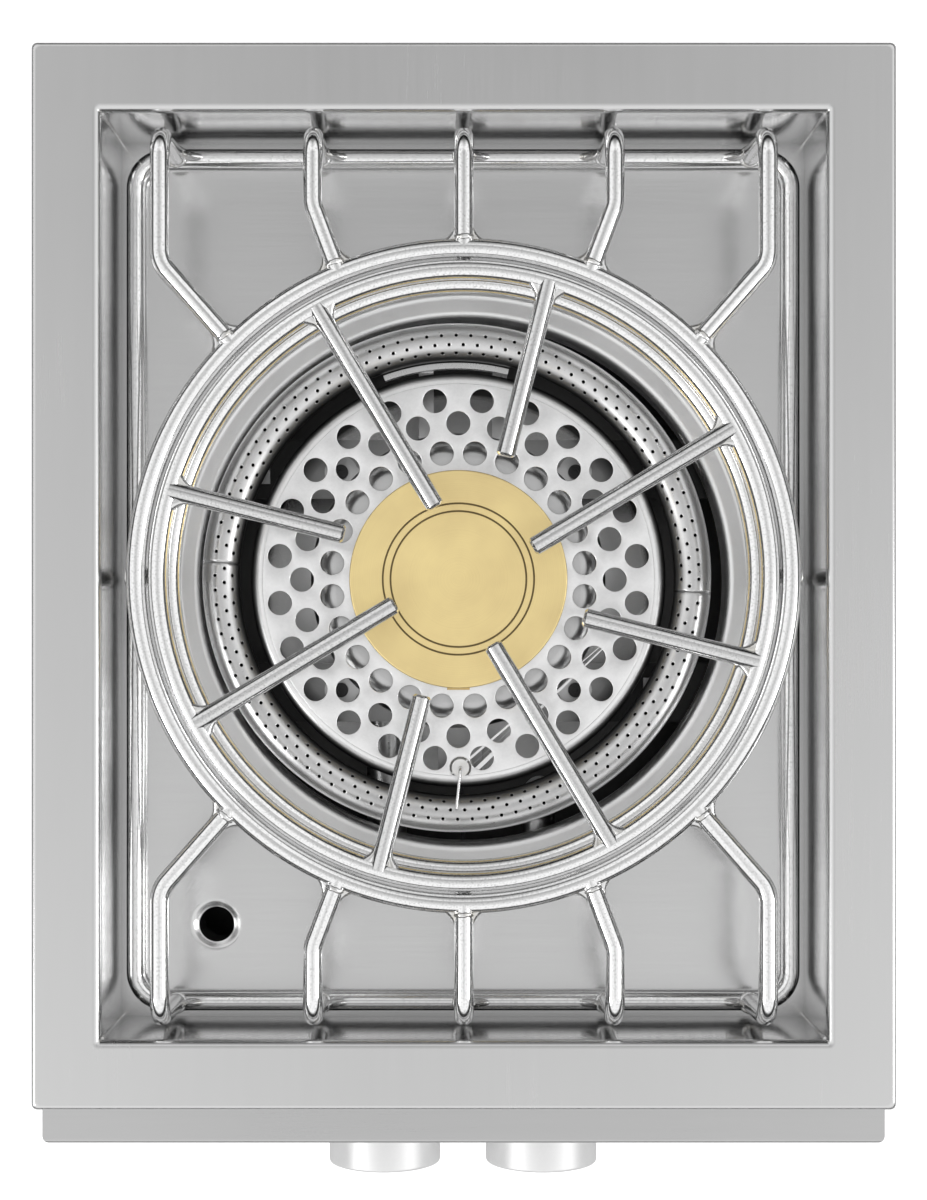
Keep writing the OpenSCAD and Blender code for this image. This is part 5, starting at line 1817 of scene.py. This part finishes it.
@dataclass
class Studio:
    """Floor, sky, lamps and camera. Lengths are in metres."""

    camera_at: tuple[float, float, float] = (-0.006, -0.01235, 1.345)
    lens: float = 65.0
    sensor: float = 36.0
    shift: tuple[float, float] = (0.0096, 0.0358)
    floor_half: float = 30.0
    floor_tones: tuple[float, float] = (0.70, 0.74)
    floor_clouds: float = 3.0
    floor_glow: float = 0.84
    overhead: float = 0.65
    back_loss: float = 0.60
    side_gain: float = 0.72
    strip: tuple[float, float] = (0.42, 0.62)
    strip_gain: float = 0.60
    least: float = 0.36
    most: float = 1.05
    least_height: float = 0.15
    dusk: tuple[float, float] = (0.26, 0.42)
    dusk_share: float = 0.04
    lamps: tuple[Lamp, ...] = (
        Lamp("key_lamp", (-2.3, -1.3, 1.9), (1.0, 1.0), 20.0),
        Lamp("fill_lamp", (2.4, -0.5, 1.7), (0.9, 1.3), 16.0),
    )
    lamp_aim: tuple[float, float, float] = (0.0, 0.0, 0.2)

    def floor(self) -> None:
        """A wide pale floor that shows as white and keeps a soft shadow."""
        mesh = bpy.data.meshes.new("studio_floor")
        points = [(sx * self.floor_half, sy * self.floor_half, 0) for sx, sy, _ in CORNERS]
        mesh.from_pydata(points, [], [(0, 1, 2, 3)])
        made = bpy.data.objects.new("studio_floor", mesh)
        bpy.context.scene.collection.objects.link(made)
        material, g = painted("floor_white")
        seen = g.node("ShaderNodeLightPath", out="Is Camera Ray")
        cloud = g.grain(self.floor_clouds, Lumps.SOFT)
        colour = g.blend(cloud, *(grey(tone) for tone in self.floor_tones))
        matt = g.node("ShaderNodeBsdfDiffuse", None, {"Color": colour})
        light = {"Color": grey(1.0), "Strength": self.floor_glow}
        glow = g.node("ShaderNodeEmission", None, light)
        both = g.node("ShaderNodeAddShader", None, {0: matt, 1: glow})
        g.output(g.node("ShaderNodeMixShader", None, {0: seen, 1: matt, 2: both}))
        mesh.materials.append(material)

    def sky(self) -> None:
        """White to the camera and a soft dome to the object.

        The dome is brighter at the sides, dims towards the back with a bright strip beyond, and is
        dark low down, so that round bars show bright and dark lines.
        """
        world = bpy.data.worlds.new("studio_sky")
        world.use_nodes = True
        bpy.context.scene.world = world
        g = Graph(world.node_tree)
        x, y, z = g.parts(g.node("ShaderNodeTexCoord", out="Generated"))
        height = g.node("ShaderNodeMath", {"operation": "MAXIMUM"}, {0: z, 1: self.least_height})
        lean = y / height
        level = self.overhead - lean * self.back_loss + abs(x / height) * self.side_gain
        level = level + g.between(lean, *self.strip) * self.strip_gain
        level = g.node("ShaderNodeClamp", None, {0: level, 1: self.least, 2: self.most})
        level = level * (g.between(z, *self.dusk) * (1 - self.dusk_share) + self.dusk_share)
        seen = g.node("ShaderNodeLightPath", out="Is Camera Ray")
        sockets = {"Color": grey(1.0), "Strength": level * (1 - seen) + seen}
        g.output(g.node("ShaderNodeBackground", None, sockets), "ShaderNodeOutputWorld")

    def camera(self) -> None:
        """Camera straight above the deck, as in the photograph."""
        data = bpy.data.cameras.new("camera")
        data.lens = self.lens
        data.sensor_width = self.sensor
        data.shift_x, data.shift_y = self.shift
        made = bpy.data.objects.new("camera", data)
        bpy.context.scene.collection.objects.link(made)
        made.location = self.camera_at
        bpy.context.scene.camera = made

    def build(self) -> None:
        """Sets up the studio."""
        bpy.context.scene.view_settings.view_transform = "Standard"
        self.floor()
        self.sky()
        for lamp in self.lamps:
            lamp.build(self.lamp_aim)
        self.camera()


@dataclass
class Finishes:
    """Every finish of the burner, built once."""

    made: dict[str, Material] = field(default_factory=dict)

    def build(self) -> None:
        """Builds the finishes."""
        across, along = Grain.LEFT_RIGHT, Grain.FRONT_BACK
        recipes = [
            # Below 3 mm the deck's sheet is the tray's walls, with painted light near their top and
            # painted shade at their foot.
            SheetSteel(
                "deck_brushed", 0.66, 0.25, along, streak=0.012, depth=0.000002, wall_below=-0.003
            ),
            SheetSteel("tray_brushed", 0.67, 0.22, across, streak=0.02, depth=0.000003),
            SheetSteel("panel_brushed", 0.54, 0.30, across, streak=0.015, depth=0.000002),
            SheetSteel("cabinet_satin", 0.50, 0.38, Grain.UP_DOWN, streak=0.06),
            SheetSteel("burner_satin", 0.66, 0.30, streak=0.03, depth=0.000005),
            # The collar's tone is raised well above the tray's as painted light, where the rings
            # above shade it.
            SheetSteel("collar_satin_painted_light", 0.95, 0.34, streak=0.02, depth=0.000004),
            SheetSteel("knob_satin", 0.82, 0.48, streak=0.02, depth=0.000002, metal=0.55),
            # Near black as painted shade inside the ring tube and on its ports' walls.
            SheetSteel("port_painted_shade", 0.03, 0.6, streak=0.2),
            SheetSteel("screw_black", 0.06, 0.35, streak=0.2),
            # Painted shade in the dark gap between the inner burner and the ring tube: on the
            # disc's rim, the heat shield, the crossmembers and the ring tube's inner side. The
            # shield's high tone is painted light on what shows through the disc's holes.
            RadialShadeSteel("disc_painted_shade", 0.93, 0.32, BURNER_AT, 106.0, 110.5),
            RadialShadeSteel("shield_painted_light_and_shade", 0.95, 0.22, BURNER_AT, 110.0, 113.5, dark=0.10),
            RadialShadeSteel("crossmember_painted_shade", 0.42, 0.38, BURNER_AT, 98.0, 107.0, dark=0.04),
            RadialShadeSteel("ring_painted_shade", 0.68, 0.30, RING_AT, 121.5, 117.3),
            RodSteel("rod_polished"),
            RodSteel("finger_ground", 0.70, 0.13),
            WeldSteel("weld_metal"),
            Brass("cap_turned", (0.98, 0.77, 0.38), 0.40, True, BURNER_AT, CAP_GROOVES),
            Brass("fitting_brass", (0.72, 0.53, 0.24), 0.30),
            ZincPlate("zinc_plated"),
            GlazedCeramic("electrode_glaze"),
            Moulded("lead_silicone", (0.03, 0.03, 0.032), 0.45, pebbles=1200.0),
            Moulded("rubber_black", (0.02, 0.02, 0.02), 0.7, pebbles=700.0),
            Moulded("plastic_black", (0.018, 0.018, 0.02), 0.42, pebbles=500.0),
        ]
        self.made = {recipe.name: recipe.build() for recipe in recipes}

    def __getitem__(self, name: str) -> Material:
        """The finish of that name."""
        return self.made[name]


@dataclass
class Carried:
    """Solids that keep their own shape and get a finish here, listed by finish."""

    solids: dict[str, tuple[str, ...]] = field(
        default_factory=lambda: {
            "tray_brushed": ("drain_spigot",),
            "panel_brushed": ("control_panel",),
            "cabinet_satin": (
                "side_panel_left", "side_panel_right", "rear_panel", "front_bulkhead", "base_pan",
                "electrode_bracket",
            ),
            "burner_satin": (
                "ring_burner_feet", "ring_burner_bracket", "ring_venturi", "inner_burner_bowl",
                "inner_burner_base", "inner_venturi",
            ),
            "knob_satin": ("knob_left", "knob_right"),
            "screw_black": ("ear_screws",),
            "shield_painted_light_and_shade": ("heat_shield",),
            "crossmember_painted_shade": ("crossmember_front", "crossmember_rear"),
            "rod_polished": ("electrode_wire",),
            "fitting_brass": (
                "port_ring", "manifold_plug", "manifold_elbow", "inlet_fitting",
                "valve_body_left", "valve_body_right", "valve_stem_left", "valve_stem_right",
                "gas_tubes", "jet_holders", "jets",
            ),
            "zinc_plated": (
                "cabinet_screws", "lead_clips", "manifold", "feed_pipe", "valve_screws",
                "spring_collar_left", "spring_collar_right",
            ),
            "electrode_glaze": ("electrode_ceramic",),
            "lead_silicone": ("ignition_lead",),
            "rubber_black": ("lead_grommet",),
            "plastic_black": ("piezo_igniter",),
        }
    )

    def build(self, nodes: dict[str, bpy.types.Object], finishes: Finishes) -> None:
        """Gives each carried solid its finish.

        Args:
            nodes: the solids by name.
            finishes: the finishes.
        """
        for finish, names in self.solids.items():
            for name in names:
                slots = nodes[name].data.materials
                slots.clear()
                slots.append(finishes[finish])
                LOG.info("%s: %s", name, finish)


def main() -> None:
    """Builds the burner and its studio in order."""
    logging.basicConfig(level=logging.INFO, format="%(message)s")
    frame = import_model()
    finishes = Finishes()
    finishes.build()
    Carried().build(frame["nodes"], finishes)
    Deck().build(finishes["deck_brushed"], finishes["weld_metal"])
    Tray().build(finishes["tray_brushed"], finishes["collar_satin_painted_light"])
    Grate().build(finishes["rod_polished"], finishes["weld_metal"])
    PotSupport().build(finishes["rod_polished"], finishes["finger_ground"], finishes["weld_metal"])
    RingBurner().build(finishes["ring_painted_shade"], finishes["port_painted_shade"])
    InnerBurner().build(finishes["disc_painted_shade"], finishes["cap_turned"])
    StemSprings().build(finishes["zinc_plated"])
    Studio().build()


if __name__ == "__main__":
    main()
